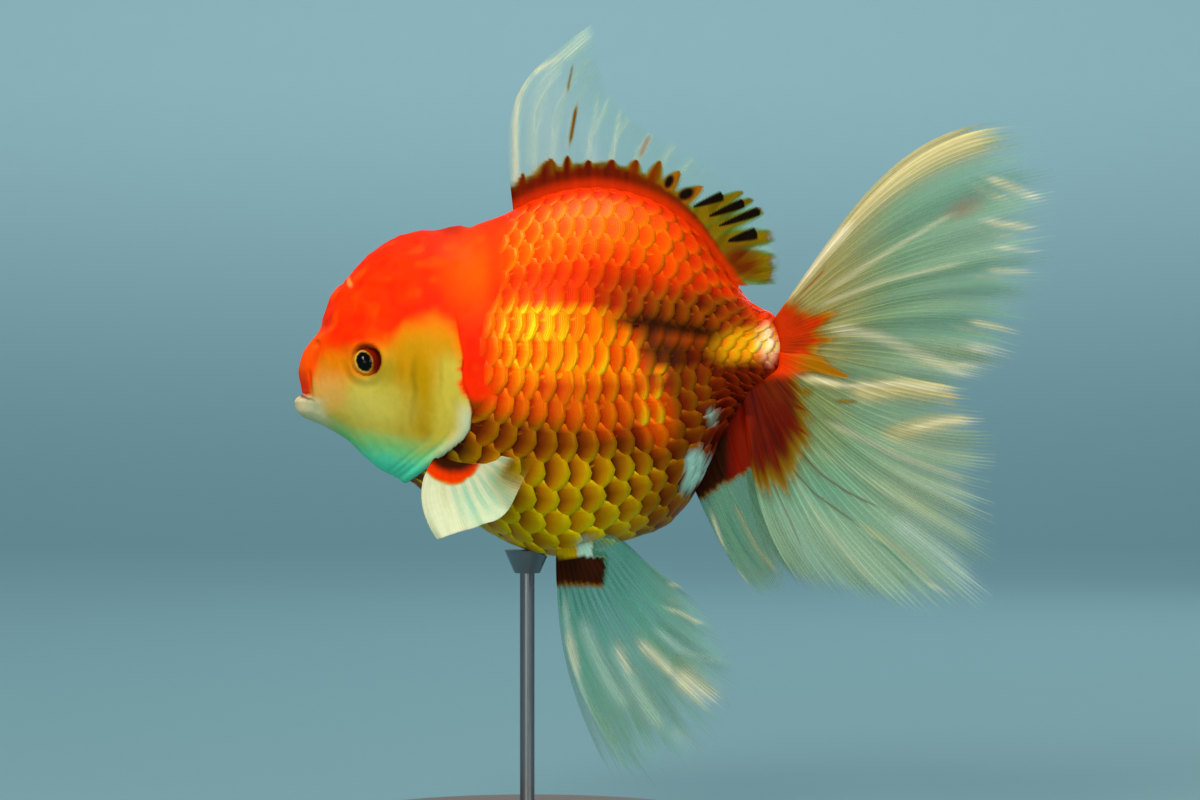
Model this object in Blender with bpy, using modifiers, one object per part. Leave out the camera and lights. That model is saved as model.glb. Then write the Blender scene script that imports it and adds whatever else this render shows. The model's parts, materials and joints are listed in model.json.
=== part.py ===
"""A life-size fancy goldfish (Ryukin and Oranda type), still, swimming left on a small rod stand.

Metres, +Z up. The head points along -X and the left side faces -Y. The origin is the centre of the
stand's underside. Lengths below are written in millimetres and scaled once, by MM.
The body is one loft through the stations of a hump-backed fish, parted by two thin cuts into head,
trunk and tail peduncle. Every fin is a fan of bent rays, given a thickness and cut back from the body.
"""

import math

import bmesh
import bpy
import numpy as np

MM = 0.001

GAP = 0.3               # clearance between neighbouring pieces

# Body stations, snout to tail root: x, back, belly, half width. The first and last are the poles.
STATIONS = (
    (-50.9, 99.5, 99.5, 0.0),       # snout tip
    (-49.6, 107.4, 94.8, 4.8),      # lips
    (-47.2, 112.6, 93.4, 8.0),      # nostrils
    (-43.4, 120.6, 91.6, 11.6),     # brow
    (-39.0, 125.2, 88.8, 14.2),     # eye
    (-32.4, 131.4, 82.8, 17.6),     # cheek
    (-24.0, 134.8, 78.6, 20.6),     # gill cover
    (-15.0, 136.0, 73.0, 23.2),     # nape
    (-6.0, 139.2, 67.4, 25.4),      # shoulder
    (4.0, 143.8, 63.8, 27.0),       # dorsal front
    (14.0, 145.5, 64.6, 26.6),      # top of the hump
    (23.0, 144.3, 67.4, 24.4),
    (31.0, 141.0, 70.6, 20.6),      # rear of the belly
    (38.0, 135.4, 79.0, 15.4),      # vent
    (44.0, 127.4, 90.4, 10.2),
    (50.0, 119.8, 98.0, 6.6),       # peduncle
    (54.8, 117.0, 101.6, 4.6),
    (57.6, 109.3, 109.3, 0.0),      # tail root
)
RINGS_PER_STATION = 2
BODY_SEGMENTS = 28
CUTTER_REACH = 100.0    # the body's cutters stand this far past it
WIDEST_LEVEL = 0.47     # height of the widest point, as a share of the depth
BACK_POWER = 1.14       # above 1 narrows the back
BELLY_POWER = 0.9       # below 1 fills the belly

# The cut behind the gill cover is an arc about a point far in front, the cut of the peduncle is plane.
GILL_ARC_CENTRE = (-92.6, 103.0)
GILL_ARC_RADIUS = 80.0
GILL_ARC_SEGMENTS = 128
PEDUNCLE_CUT_X = 42.0

EYE_CENTRE = (-34.6, 13.5, 106.7)
EYE_RADIUS = 3.5
EYE_SEGMENTS = 16
EYE_RINGS = 10

MOUTH_CENTRE = (-45.2, 0.0, 97.7)
MOUTH_HALF_SIZE = (6.2, 6.6, 0.45)
MOUTH_SLOPE_DEG = 20.0
MOUTH_SEGMENTS = 20
MOUTH_RINGS = 6

# A fin's rays, front to back: root x, root z, tip x, tip z, angle at the root, angle at the tip,
# distance from the middle plane at the root and at the tip. Angles are degrees above +X.
DORSAL_RAYS = (
    (-2.9, 138.0, 15.6, 181.8, 97, 34, 0, 0.6),
    (4.6, 141.0, 16.6, 176.4, 96, 46, 0, -0.8),
    (12.7, 142.5, 18.0, 168.4, 90, 58, 0, 0.6),
    (20.4, 142.0, 24.0, 160.2, 82, 52, 0, -0.4),
    (27.6, 139.5, 33.0, 155.0, 70, 46, 0, 0.6),
    (34.4, 134.6, 44.0, 147.0, 52, 32, 0, -0.6),
    (39.8, 128.8, 52.4, 140.0, 42, 26, 0, 0.4),
    (43.0, 124.6, 56.6, 128.6, 20, 0, 0, -0.4),
    (46.6, 120.6, 55.6, 121.4, 6, -12, 0, 0),
)
PECTORAL_RAYS = (
    (-19.2, 86.0, -18.2, 68.4, -130, -52, None, 31.0),
    (-17.2, 85.4, -14.4, 69.8, -112, -68, None, 32.5),
    (-15.0, 85.2, -8.8, 71.6, -84, -56, None, 32.5),
    (-12.8, 85.2, -3.3, 74.5, -56, -38, None, 32.0),
    (-10.9, 85.6, 1.4, 80.2, -30, -12, None, 30.5),
    (-9.4, 86.6, 5.2, 86.4, 0, 20, None, 28.8),
)
PELVIC_RAYS = (
    (6.6, 69.5, 26.7, 12.4, -93, -50, 7.4, 22.0),
    (8.6, 69.5, 35.1, 18.4, -85, -52, 8.0, 25.0),
    (10.6, 69.6, 41.9, 24.3, -75, -46, 8.6, 27.0),
    (12.4, 69.8, 45.6, 33.5, -62, -34, 9.0, 28.0),
    (14.2, 70.2, 46.1, 44.0, -48, -20, 9.4, 27.0),
    (15.6, 71.0, 36.0, 56.6, -34, -28, 9.4, 21.0),
)
ANAL_RAYS = (
    (36.2, 79.8, 50.1, 55.2, -66, -52, 2.6, 9.0),
    (37.4, 85.4, 53.9, 54.2, -72, -56, 2.8, 10.6),
    (39.2, 91.2, 56.3, 55.2, -76, -60, 3.0, 11.4),
    (41.4, 96.8, 58.0, 57.3, -80, -62, 3.2, 11.6),
)
TAIL_UPPER_RAYS = (
    (54.0, 115.4, 111.3, 157.4, 54, -4, 2.2, 11.0),
    (54.6, 114.2, 115.9, 145.3, 46, 10, 2.4, 16.0),
    (55.0, 113.0, 115.4, 131.2, 32, 8, 2.6, 20.0),
    (55.3, 111.7, 112.0, 117.2, 18, -14, 2.6, 22.0),
    (55.6, 110.4, 105.6, 106.1, 6, -16, 2.6, 22.0),
    (55.6, 109.0, 96.2, 101.2, -8, -6, 2.6, 20.0),
)
TAIL_LOWER_RAYS = (
    (55.6, 107.2, 94.3, 97.6, -26, 0, 2.6, 24.0),
    (55.4, 105.8, 101.1, 89.5, -36, 2, 2.8, 28.0),
    (54.8, 104.4, 100.7, 76.9, -44, -16, 3.0, 31.0),
    (53.6, 103.4, 101.3, 65.2, -52, -30, 3.2, 33.0),
    (51.8, 102.2, 97.8, 52.7, -60, -42, 3.4, 34.0),
    (49.6, 101.0, 76.6, 53.0, -72, -42, 3.6, 31.0),
    (47.0, 100.0, 60.4, 56.6, -84, -50, 3.6, 24.0),
)
# How far a ray keeps its root and tip angles, as a share of its length.
RAY_FULLNESS = 0.4
DORSAL_FULLNESS = 0.53

FIN_ROOT_THICKNESS = 1.8
FIN_EDGE_THICKNESS = 0.6
FLESHY_SHARE = 0.3      # share of a ray's length over which the fleshy base thins out

# The paired fins: name with a place for the side, rays, grid, number of pleats, depth of a pleat, and
# how far the right one swings up about its root, in degrees, against the left one's mirror image.
PAIRED_FINS = (
    ("pectoral_fin_{}", PECTORAL_RAYS, (10, 6), 3, 0.5, 0.0),
    ("pelvic_fin_{}", PELVIC_RAYS, (11, 7), 3, 0.7, -7.0),
    ("anal_fin_{}", ANAL_RAYS, (6, 6), 2, 0.4, 0.0),
    ("tail_fin_{}_upper", TAIL_UPPER_RAYS, (12, 8), 3, 0.9, 3.0),
    ("tail_fin_{}_lower", TAIL_LOWER_RAYS, (12, 8), 3, 0.9, -3.0),
)
DORSAL_GRID = (20, 7)
SIDES = ((-1, "left"), (1, "right"))

BASE_RADIUS = 46.0
BASE_THICKNESS = 6.0
BASE_EDGE = 1.2
BASE_SEGMENTS = 56
TURNED_SEGMENTS = 32
ROD_RADIUS = 1.6
ROD_SEGMENTS = 24
ROD_SOCKET_DEPTH = 3.5
COLLAR_RADIUS = 4.2
COLLAR_TOP_RADIUS = 3.4
COLLAR_HEIGHT = 2.6
CUP_RADIUS = 5.0
CUP_STEM_RADIUS = 2.8
CUP_HEIGHT = 5.0
CUP_SOCKET_DEPTH = 2.5
BELLY_OVER_ROD = 65.0   # height that the cup's rim reaches before the belly's shape is cut from it


def clear_scene():
    for old in list(bpy.data.objects):
        bpy.data.objects.remove(old, do_unlink=True)


def new_collection(name):
    collection = bpy.data.collections.new(name)
    bpy.context.scene.collection.children.link(collection)
    return collection


def make_material(name, color, roughness, metallic=0.0):
    material = bpy.data.materials.new(name)
    material.use_nodes = True
    shader = material.node_tree.nodes["Principled BSDF"]
    shader.inputs["Base Color"].default_value = (*color, 1.0)
    shader.inputs["Roughness"].default_value = roughness
    shader.inputs["Metallic"].default_value = metallic
    return material


def place_mesh(name, bm, collection, material=None):
    """Links a finished bmesh, built in millimetres, as an object in metres."""
    bmesh.ops.scale(bm, vec=(MM, MM, MM), verts=bm.verts)
    mesh = bpy.data.meshes.new(name)
    bm.to_mesh(mesh)
    bm.free()
    obj = bpy.data.objects.new(name, mesh)
    collection.objects.link(obj)
    if material:
        mesh.materials.append(material)
    return obj


def make_helper(obj):
    obj.hide_render = True
    obj.display_type = "WIRE"
    return obj


def add_boolean(obj, other, operation):
    cut = obj.modifiers.new(f"{operation.title()} {other.name}", "BOOLEAN")
    cut.operation = operation
    cut.object = other
    cut.solver = "EXACT"


def shade_smooth(obj, angle_deg=40.0):
    obj.data.shade_smooth()
    obj.data.set_sharp_from_angle(angle=math.radians(angle_deg))


def smooth_rows(rows, places):
    """Catmull-Rom values between the rows of a table, at places counted in rows."""
    first = np.clip(np.floor(places).astype(int), 0, len(rows) - 4)
    t = (places - first)[:, None]
    a, b, c, d = (rows[first + k] for k in range(4))
    return 0.5 * (2 * b + (c - a) * t + (2 * a - 5 * b + 4 * c - d) * t**2 + (3 * b - a - 3 * c + d) * t**3)


def station_values(places):
    """x, back, belly and half width at places counted in stations from the snout, 0, to the tail root."""
    rows = np.array(STATIONS)
    mirror = np.array([1, 1, 1, -1.0])
    before = rows[1, [0, 2, 1, 3]] * mirror
    after = rows[-2, [0, 2, 1, 3]] * mirror
    return smooth_rows(np.vstack([before, rows, after]), np.asarray(places, float)).T


def section_point(places, turns, offset):
    """Body surface points: turn 0 is the back, a quarter turn the right flank, a half turn the belly."""
    x, back, belly, half_width = station_values(places)
    level = belly + WIDEST_LEVEL * (back - belly)
    sine, cosine = np.sin(turns), np.cos(turns)
    power = np.where(cosine > 0, BACK_POWER, BELLY_POWER)
    y = half_width * np.sign(sine) * np.abs(sine) ** power
    z = level + np.where(cosine > 0, back - level, level - belly) * cosine
    at_pole = half_width <= 0.0
    grow_x = offset * at_pole * np.where(places < 1, -1.0, 1.0)
    grow_y = offset * ~at_pole * sine
    grow_z = offset * ~at_pole * cosine
    return np.stack([x + grow_x, y + grow_y, z + grow_z], axis=-1)


def body_bmesh(offset):
    """A sphere whose rings are moved onto the body's sections, grown by offset."""
    bm = bmesh.new()
    ring_steps = (len(STATIONS) - 1) * RINGS_PER_STATION
    bmesh.ops.create_uvsphere(bm, u_segments=BODY_SEGMENTS, v_segments=ring_steps, radius=1.0)
    ball = np.array([vert.co for vert in bm.verts])
    places = np.arccos(np.clip(ball[:, 2], -1, 1)) / math.pi * (len(STATIONS) - 1)
    turns = np.arctan2(ball[:, 1], ball[:, 0])
    points = section_point(np.round(places * RINGS_PER_STATION) / RINGS_PER_STATION, turns, offset)
    for vert, point in zip(bm.verts, points):
        vert.co = point
    return bm


def flank_y(x, z):
    """Half width of the body at a place in side view."""
    places = np.linspace(0, len(STATIONS) - 1, 400)
    stations = station_values(places)
    back, belly, half_width = (np.interp(x, stations[0], row) for row in stations[1:])
    level = belly + WIDEST_LEVEL * (back - belly)
    height = (z - level) / (back - level if z > level else level - belly)
    return half_width * max(0.0, 1 - height**2) ** (0.5 * (BACK_POWER if z > level else BELLY_POWER))


def cylinder_bmesh(radius, bottom, top, segments, top_radius=None):
    bm = bmesh.new()
    made = bmesh.ops.create_cone(
        bm,
        cap_ends=True,
        segments=segments,
        radius1=radius,
        radius2=radius if top_radius is None else top_radius,
        depth=top - bottom,
    )
    bmesh.ops.translate(bm, verts=made["verts"], vec=(0, 0, (top + bottom) / 2))
    return bm


def gill_arc_cutter(name, radius, helpers):
    bm = cylinder_bmesh(radius, -CUTTER_REACH, CUTTER_REACH, GILL_ARC_SEGMENTS)
    for vert in bm.verts:
        x, y, z = vert.co
        vert.co = (x + GILL_ARC_CENTRE[0], z, GILL_ARC_CENTRE[1] - y)
    return make_helper(place_mesh(name, bm, helpers))


def tail_space_cutter(name, front_x, helpers):
    """A cube that holds everything tailward of front_x."""
    bm = bmesh.new()
    bmesh.ops.create_cube(bm, size=2 * CUTTER_REACH)
    bmesh.ops.translate(bm, verts=bm.verts, vec=(front_x + CUTTER_REACH, 0, CUTTER_REACH))
    return make_helper(place_mesh(name, bm, helpers))


def ball_bmesh(centre, half_sizes, segments, rings, tilt_deg=0.0):
    bm = bmesh.new()
    bmesh.ops.create_uvsphere(bm, u_segments=segments, v_segments=rings, radius=1.0)
    tilt = math.radians(tilt_deg)
    for vert in bm.verts:
        x, y, z = np.array(vert.co) * half_sizes
        vert.co = (
            centre[0] + x * math.cos(tilt) + z * math.sin(tilt),
            centre[1] + y,
            centre[2] - x * math.sin(tilt) + z * math.cos(tilt),
        )
    return bm


def eye_bmesh(side, radius):
    centre = (EYE_CENTRE[0], side * EYE_CENTRE[1], EYE_CENTRE[2])
    return ball_bmesh(centre, (radius, radius, radius), EYE_SEGMENTS, EYE_RINGS)


def make_body(parts, helpers):
    """Head, trunk and peduncle: one body form, parted by thin cuts, with eye sockets and a mouth."""
    ahead = gill_arc_cutter("gill_arc_ahead", GILL_ARC_RADIUS - GAP / 2, helpers)
    behind = gill_arc_cutter("gill_arc_behind", GILL_ARC_RADIUS + GAP / 2, helpers)
    tailward = tail_space_cutter("tailward_of_cut", PEDUNCLE_CUT_X - GAP / 2, helpers)
    tail_space = tail_space_cutter("peduncle_space", PEDUNCLE_CUT_X + GAP / 2, helpers)
    mouth_lens = ball_bmesh(MOUTH_CENTRE, MOUTH_HALF_SIZE, MOUTH_SEGMENTS, MOUTH_RINGS, MOUTH_SLOPE_DEG)
    mouth = make_helper(place_mesh("mouth_slit", mouth_lens, helpers))

    head = place_mesh("head", body_bmesh(0.0), parts, make_material("head_skin", (0.85, 0.12, 0.02), 0.35))
    add_boolean(head, ahead, "INTERSECT")
    add_boolean(head, mouth, "DIFFERENCE")
    for side, label in SIDES:
        socket_ball = eye_bmesh(side, EYE_RADIUS + GAP)
        add_boolean(head, make_helper(place_mesh(f"socket_{label}", socket_ball, helpers)), "DIFFERENCE")

    trunk = place_mesh("trunk", body_bmesh(0.0), parts, make_material("trunk_skin", (0.8, 0.25, 0.03), 0.35))
    add_boolean(trunk, behind, "DIFFERENCE")
    add_boolean(trunk, tailward, "DIFFERENCE")

    peduncle_material = make_material("peduncle_skin", (0.8, 0.3, 0.03), 0.35)
    peduncle = place_mesh("tail_peduncle", body_bmesh(0.0), parts, peduncle_material)
    add_boolean(peduncle, tail_space, "INTERSECT")
    for obj in (head, trunk, peduncle):
        shade_smooth(obj)


def make_eyes(parts):
    material = make_material("eye", (0.01, 0.01, 0.012), 0.05)
    for side, label in SIDES:
        shade_smooth(place_mesh(f"eye_{label}", eye_bmesh(side, EYE_RADIUS), parts, material))


def fin_points(rays, side, across, along, pleats, pleat_depth, swing_deg, fullness):
    """Points of a fan: each ray is a cubic Bezier curve from its root to its tip in side view."""
    rows = np.array(
        [[*ray[:6], flank_y(ray[0], ray[1]) - 2.0 if ray[6] is None else ray[6], ray[7]] for ray in rays],
        float,
    )
    rows = np.vstack([2 * rows[0] - rows[1], rows, 2 * rows[-1] - rows[-2]])
    root_x, root_z, tip_x, tip_z, root_angle, tip_angle, root_y, tip_y = smooth_rows(
        rows, across * (len(rays) - 1)
    ).T
    length = np.hypot(tip_x - root_x, tip_z - root_z)
    handle = fullness * length
    root_angle, tip_angle = np.radians(root_angle), np.radians(tip_angle)
    weights = ((1 - along) ** 3, 3 * along * (1 - along) ** 2, 3 * along**2 * (1 - along), along**3)
    x = (
        weights[0] * root_x
        + weights[1] * (root_x + handle * np.cos(root_angle))
        + weights[2] * (tip_x - handle * np.cos(tip_angle))
        + weights[3] * tip_x
    )
    z = (
        weights[0] * root_z
        + weights[1] * (root_z + handle * np.sin(root_angle))
        + weights[2] * (tip_z - handle * np.sin(tip_angle))
        + weights[3] * tip_z
    )
    swing = np.radians(swing_deg) * along
    turned_x = root_x + (x - root_x) * np.cos(swing) - (z - root_z) * np.sin(swing)
    turned_z = root_z + (x - root_x) * np.sin(swing) + (z - root_z) * np.cos(swing)
    y = root_y + (tip_y - root_y) * along + pleat_depth * np.sin(2 * np.pi * pleats * across) * along**2
    return np.stack([turned_x, side * y, turned_z], axis=-1)


def make_fin(name, points_of, grid, parts, body_room, material):
    """A fan on a grid, thick at its fleshy root and thin at its edge, cut back from the body."""
    bm = bmesh.new()
    bmesh.ops.create_grid(bm, x_segments=grid[0], y_segments=grid[1], size=0.5)
    flat = np.array([vert.co for vert in bm.verts])
    across, along = flat[:, 0] + 0.5, flat[:, 1] + 0.5
    for vert, point in zip(bm.verts, points_of(across, along)):
        vert.co = point
    fin = place_mesh(name, bm, parts, material)
    thick = fin.vertex_groups.new(name="fleshy")
    for index, weight in enumerate(np.clip(1 - along / FLESHY_SHARE, 0, 1)):
        thick.add([index], float(weight), "REPLACE")
    wall = fin.modifiers.new("Thickness", "SOLIDIFY")
    wall.thickness = FIN_ROOT_THICKNESS * MM
    wall.offset = 0.0
    wall.vertex_group = thick.name
    wall.thickness_vertex_group = FIN_EDGE_THICKNESS / FIN_ROOT_THICKNESS
    add_boolean(fin, body_room, "DIFFERENCE")
    shade_smooth(fin)


def make_fins(parts, body_room):
    dark = make_material("fin_dark_base", (0.2, 0.05, 0.02), 0.45)
    pale = make_material("fin_pale", (0.82, 0.86, 0.72), 0.4)

    def dorsal_points(across, along):
        return fin_points(DORSAL_RAYS, 1, across, along, 0, 0.0, 0.0, DORSAL_FULLNESS)

    make_fin("dorsal_fin", dorsal_points, DORSAL_GRID, parts, body_room, dark)
    for name, rays, grid, pleats, depth, far_swing in PAIRED_FINS:
        for side, label in SIDES:
            swing = far_swing if side > 0 else 0.0

            def points_of(across, along):
                return fin_points(rays, side, across, along, pleats, depth, swing, RAY_FULLNESS)

            make_fin(name.format(label), points_of, grid, parts, body_room, pale)


def make_stand(parts, helpers, body_room):
    """A round base with a socket, a rod with a collar, and a small cup cut to the belly."""
    wood = make_material("stand_wood", (0.12, 0.06, 0.03), 0.45)
    steel = make_material("stand_steel", (0.6, 0.6, 0.6), 0.3, 1.0)
    rod_foot = BASE_THICKNESS - ROD_SOCKET_DEPTH
    cup_bottom = BELLY_OVER_ROD - CUP_HEIGHT
    rod_top = cup_bottom + CUP_SOCKET_DEPTH
    socket_bar = cylinder_bmesh(ROD_RADIUS + GAP, rod_foot - GAP, rod_top + GAP, ROD_SEGMENTS)
    socket = make_helper(place_mesh("rod_socket", socket_bar, helpers))

    base_disc = cylinder_bmesh(BASE_RADIUS, 0.0, BASE_THICKNESS, BASE_SEGMENTS)
    base = place_mesh("stand_base", base_disc, parts, wood)
    edge = base.modifiers.new("Rounded edge", "BEVEL")
    edge.width = BASE_EDGE * MM
    edge.segments = 2
    edge.limit_method = "ANGLE"
    add_boolean(base, socket, "DIFFERENCE")

    collar_bottom = BASE_THICKNESS + GAP
    collar_ring = cylinder_bmesh(
        COLLAR_RADIUS, collar_bottom, collar_bottom + COLLAR_HEIGHT, TURNED_SEGMENTS, COLLAR_TOP_RADIUS
    )
    collar = place_mesh("stand_collar", collar_ring, parts, steel)
    add_boolean(collar, socket, "DIFFERENCE")

    rod_bar = cylinder_bmesh(ROD_RADIUS, rod_foot, rod_top, ROD_SEGMENTS)
    rod = place_mesh("stand_rod", rod_bar, parts, steel)

    cup_cone = cylinder_bmesh(CUP_STEM_RADIUS, cup_bottom, BELLY_OVER_ROD, TURNED_SEGMENTS, CUP_RADIUS)
    cup = place_mesh("stand_cup", cup_cone, parts, steel)
    add_boolean(cup, socket, "DIFFERENCE")
    add_boolean(cup, body_room, "DIFFERENCE")
    for obj in (base, collar, rod, cup):
        shade_smooth(obj)


def build():
    clear_scene()
    parts = new_collection("fancy_goldfish")
    helpers = new_collection("cutters")
    body_room = make_helper(place_mesh("body_room", body_bmesh(GAP), helpers))
    make_body(parts, helpers)
    make_eyes(parts)
    make_fins(parts, body_room)
    make_stand(parts, helpers, body_room)


build()
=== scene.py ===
import json
import math
import bpy
import numpy as np
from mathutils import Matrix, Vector

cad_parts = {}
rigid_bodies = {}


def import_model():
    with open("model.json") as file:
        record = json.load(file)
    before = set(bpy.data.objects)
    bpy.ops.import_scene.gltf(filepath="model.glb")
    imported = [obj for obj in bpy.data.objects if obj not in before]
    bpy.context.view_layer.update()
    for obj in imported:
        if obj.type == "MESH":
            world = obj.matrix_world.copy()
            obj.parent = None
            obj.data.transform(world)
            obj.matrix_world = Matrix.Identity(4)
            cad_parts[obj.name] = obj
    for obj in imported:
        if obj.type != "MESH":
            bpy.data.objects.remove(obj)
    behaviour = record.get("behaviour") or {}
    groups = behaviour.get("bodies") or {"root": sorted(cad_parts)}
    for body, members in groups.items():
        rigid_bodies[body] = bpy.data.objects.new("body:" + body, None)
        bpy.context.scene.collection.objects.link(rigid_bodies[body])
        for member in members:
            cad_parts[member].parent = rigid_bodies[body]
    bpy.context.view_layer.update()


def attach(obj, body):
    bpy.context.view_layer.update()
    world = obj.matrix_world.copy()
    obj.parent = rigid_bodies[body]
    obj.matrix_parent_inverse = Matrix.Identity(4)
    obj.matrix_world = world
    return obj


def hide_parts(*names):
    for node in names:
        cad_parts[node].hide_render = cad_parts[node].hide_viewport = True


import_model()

mm = 0.001  # every length below is in millimetres until it goes into a mesh


def smooth(low, high, value):  # 0 before low, 1 after high, an S-shaped step between
    t = np.clip((value - low) / (high - low), 0.0, 1.0)
    return t * t * (3 - 2 * t)


def fall(low, high, value):  # 1 before low, 0 after high, the same step turned over
    return 1 - smooth(low, high, value)


def bell(value, centre, width):  # 1 at the centre, falling off as a Gaussian
    return np.exp(-(((value - centre) / width) ** 2))


def window(value, low, high, soft):  # 1 between low and high with soft ends
    return smooth(low - soft, low + soft, value) * fall(high - soft, high + soft, value)


def blob(x, z, centreX, centreZ, halfX, halfZ, tiltDeg=0.0, soft=0.35):  # 1 inside a tilted ellipse, 0 outside
    c, s = math.cos(math.radians(tiltDeg)), math.sin(math.radians(tiltDeg))
    u = ((x - centreX) * c + (z - centreZ) * s) / halfX
    v = (-(x - centreX) * s + (z - centreZ) * c) / halfZ
    return fall(1 - soft, 1 + soft, np.sqrt(u * u + v * v))


def noise(points, size, seed):  # random numbers at the corners of cubes of this size, blended across each cube, 0 to 1
    p = np.asarray(points, float) / size + seed * 7.31
    cell = np.floor(p).astype(np.int64)
    f = p - cell
    f = f * f * (3 - 2 * f)
    total = 0.0
    for dx in (0, 1):
        for dy in (0, 1):
            for dz in (0, 1):
                n = (cell[..., 0] + dx) * 374761393 + (cell[..., 1] + dy) * 668265263
                n = n + (cell[..., 2] + dz) * 1274126177 + seed * 69069
                n = (n ^ (n >> 13)) * 1103515245
                n = n ^ (n >> 16)
                weight = np.abs(1 - dx - f[..., 0]) * np.abs(1 - dy - f[..., 1]) * np.abs(1 - dz - f[..., 2])
                total = total + weight * ((n & 65535) / 65535.0)
    return total


def mottle(points, size, seed):  # two sizes of noise added, -1 to 1
    return (noise(points, size, seed) * 1.3 + noise(points, size * 0.45, seed + 5) * 0.7) - 1.0


def paint(red, green, blue):  # a colour as eyes read it, 0 to 255, turned into light values
    c = np.array([red, green, blue]) / 255.0
    return np.where(c <= 0.04045, c / 12.92, ((c + 0.055) / 1.055) ** 2.4)


def blend(under, over, weight):  # lays one colour over another by a weight
    weight = np.asarray(weight)[..., None]
    return under * (1 - weight) + over * weight


def blendAll(under, layers):  # lays several colours over another in turn, each with its weight
    for over, weight in layers:
        under = blend(under, over, weight)
    return under


def spread(values, count):  # one colour repeated for a whole surface
    return np.tile(np.asarray(values, float), (count, 1))


stations = np.array([  # x, back, belly, half width: the same body as the solids
    (-50.9, 99.5, 99.5, 0.0), (-49.6, 107.4, 94.8, 4.8), (-47.2, 112.6, 93.4, 8.0), (-43.4, 120.6, 91.6, 11.6),
    (-39.0, 125.2, 88.8, 14.2), (-32.4, 131.4, 82.8, 17.6), (-24.0, 134.8, 78.6, 20.6), (-15.0, 136.0, 73.0, 23.2),
    (-6.0, 139.2, 67.4, 25.4), (4.0, 143.8, 63.8, 27.0), (14.0, 145.5, 64.6, 26.6), (23.0, 144.3, 67.4, 24.4),
    (31.0, 141.0, 70.6, 20.6), (38.0, 135.4, 79.0, 15.4), (44.0, 127.4, 90.4, 10.2), (50.0, 119.8, 98.0, 6.6),
    (54.8, 117.0, 101.6, 4.6), (57.6, 109.3, 109.3, 0.0)])
# the widest level as a share of the height; powers that flatten the flanks above and below it; the last place
body = {"widest": 0.47, "backPower": 1.14, "bellyPower": 0.9, "last": len(stations) - 1}


def smoothRows(rows, places):  # Catmull-Rom values between the rows of a table
    first = np.clip(np.floor(places).astype(int), 0, len(rows) - 4)
    t = (places - first)[..., None]
    a, b, c, d = (rows[first + k] for k in range(4))
    return 0.5 * (2 * b + (c - a) * t + (2 * a - 5 * b + 4 * c - d) * t**2 + (3 * b - a - 3 * c + d) * t**3)


mirror = np.array([1, 1, 1, -1.0])
bodyRows = np.vstack([stations[1, [0, 2, 1, 3]] * mirror, stations, stations[-2, [0, 2, 1, 3]] * mirror])


def bodyPoint(places, turns):
    # At a place along the fish, a turn of 0 is the back, a quarter turn the right flank, a half turn the belly:
    # y = half width * sine to a power, z = widest level + height above or below it * cosine.
    x, back, belly, half = np.moveaxis(smoothRows(bodyRows, np.asarray(places, float)), -1, 0)
    level = belly + body["widest"] * (back - belly)
    s, c = np.sin(turns), np.cos(turns)
    power = np.where(c > 0, body["backPower"], body["bellyPower"])
    y = half * np.sign(s) * np.abs(s) ** power
    z = level + np.where(c > 0, back - level, level - belly) * c
    return np.stack(np.broadcast_arrays(x + 0 * y, y, z), axis=-1)


def bodyNormal(places, turns):  # cross product of the steps along and around the body
    e = 1e-3
    places = np.clip(places, 0.02, body["last"] - 0.02)
    along = bodyPoint(places + e, turns) - bodyPoint(places - e, turns)
    around = bodyPoint(places, turns + e) - bodyPoint(places, turns - e)
    n = np.cross(along, around)
    return n / np.maximum(np.linalg.norm(n, axis=-1, keepdims=True), 1e-12)


densePlaces = np.linspace(0, body["last"], 700)
denseStations = smoothRows(bodyRows, densePlaces)


def placeAt(x):  # place along the fish at this x
    return np.interp(x, denseStations[:, 0], densePlaces)


def backAt(x):  # height of the back at this x
    return np.interp(x, denseStations[:, 0], denseStations[:, 1])


def gillEdge(z):  # x of the gill cover's free edge at a height
    heights = (78, 80, 82, 85, 87.7, 89.5, 91.6, 95.5, 98, 101, 104.4, 106.5, 111, 116, 119)
    edges = (-29, -26.5, -23.5, -19.5, -16, -13.7, -12.3, -11.8, -12.4, -13.4, -13.9, -13.6, -14.5, -15.2, -16.5)
    return np.interp(z, heights, edges)


palette = {name: paint(*values) for name, values in {
    "hood": (250, 46, 0), "hoodDeep": (232, 24, 0), "snout": (238, 84, 4), "lip": (214, 208, 160),
    # the pale and cream cheek colours are painted highlights on the cheek; the cream one also marks the small nick on
    # the hood
    "cheek": (190, 164, 38), "cheekHighlight": (204, 190, 84), "creamAndHighlight": (232, 174, 86),
    "gillOrange": (228, 124, 4), "gillPale": (200, 180, 62), "ochreGill": (198, 136, 2),
    # the chin's colour here and the throat's below are pale skin with painted aqua light in them
    "olive": (182, 138, 0), "oliveDark": (126, 104, 6), "chinAquaLight": (134, 212, 128),
    # the colours for the eye's socket, the mouth and, below, under the gill cover are painted shade
    "throatAquaLight": (94, 242, 190), "socket": (112, 18, 2), "mouth": (96, 24, 8),
    "underGillShade": (70, 20, 4),
    "backRed": (242, 54, 0), "backOrange": (250, 96, 0), "backDeep": (200, 32, 0),
    "gold": (255, 124, 0), "goldLight": (255, 204, 14), "goldRoot": (226, 62, 0),
    "orange": (222, 84, 0), "orangeRoot": (176, 38, 0), "brown": (138, 58, 0),
    "brownRoot": (88, 26, 0), "brownRim": (176, 112, 0), "oliveMid": (204, 122, 0),
    "oliveRoot": (106, 42, 0), "oliveRim": (218, 190, 0), "limeMid": (222, 164, 0),
    "limeRim": (236, 216, 4), "dark": (44, 13, 0), "darkRim": (84, 34, 0), "maroon": (112, 20, 2),
    # the near-white colour here is a painted highlight at the tail's root
    "maroonDark": (62, 12, 2), "mint": (176, 224, 206), "tailRootGlare": (250, 232, 190),
    "rearBrown": (146, 50, 4), "rearRim": (168, 92, 6),
}.items()}


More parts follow.
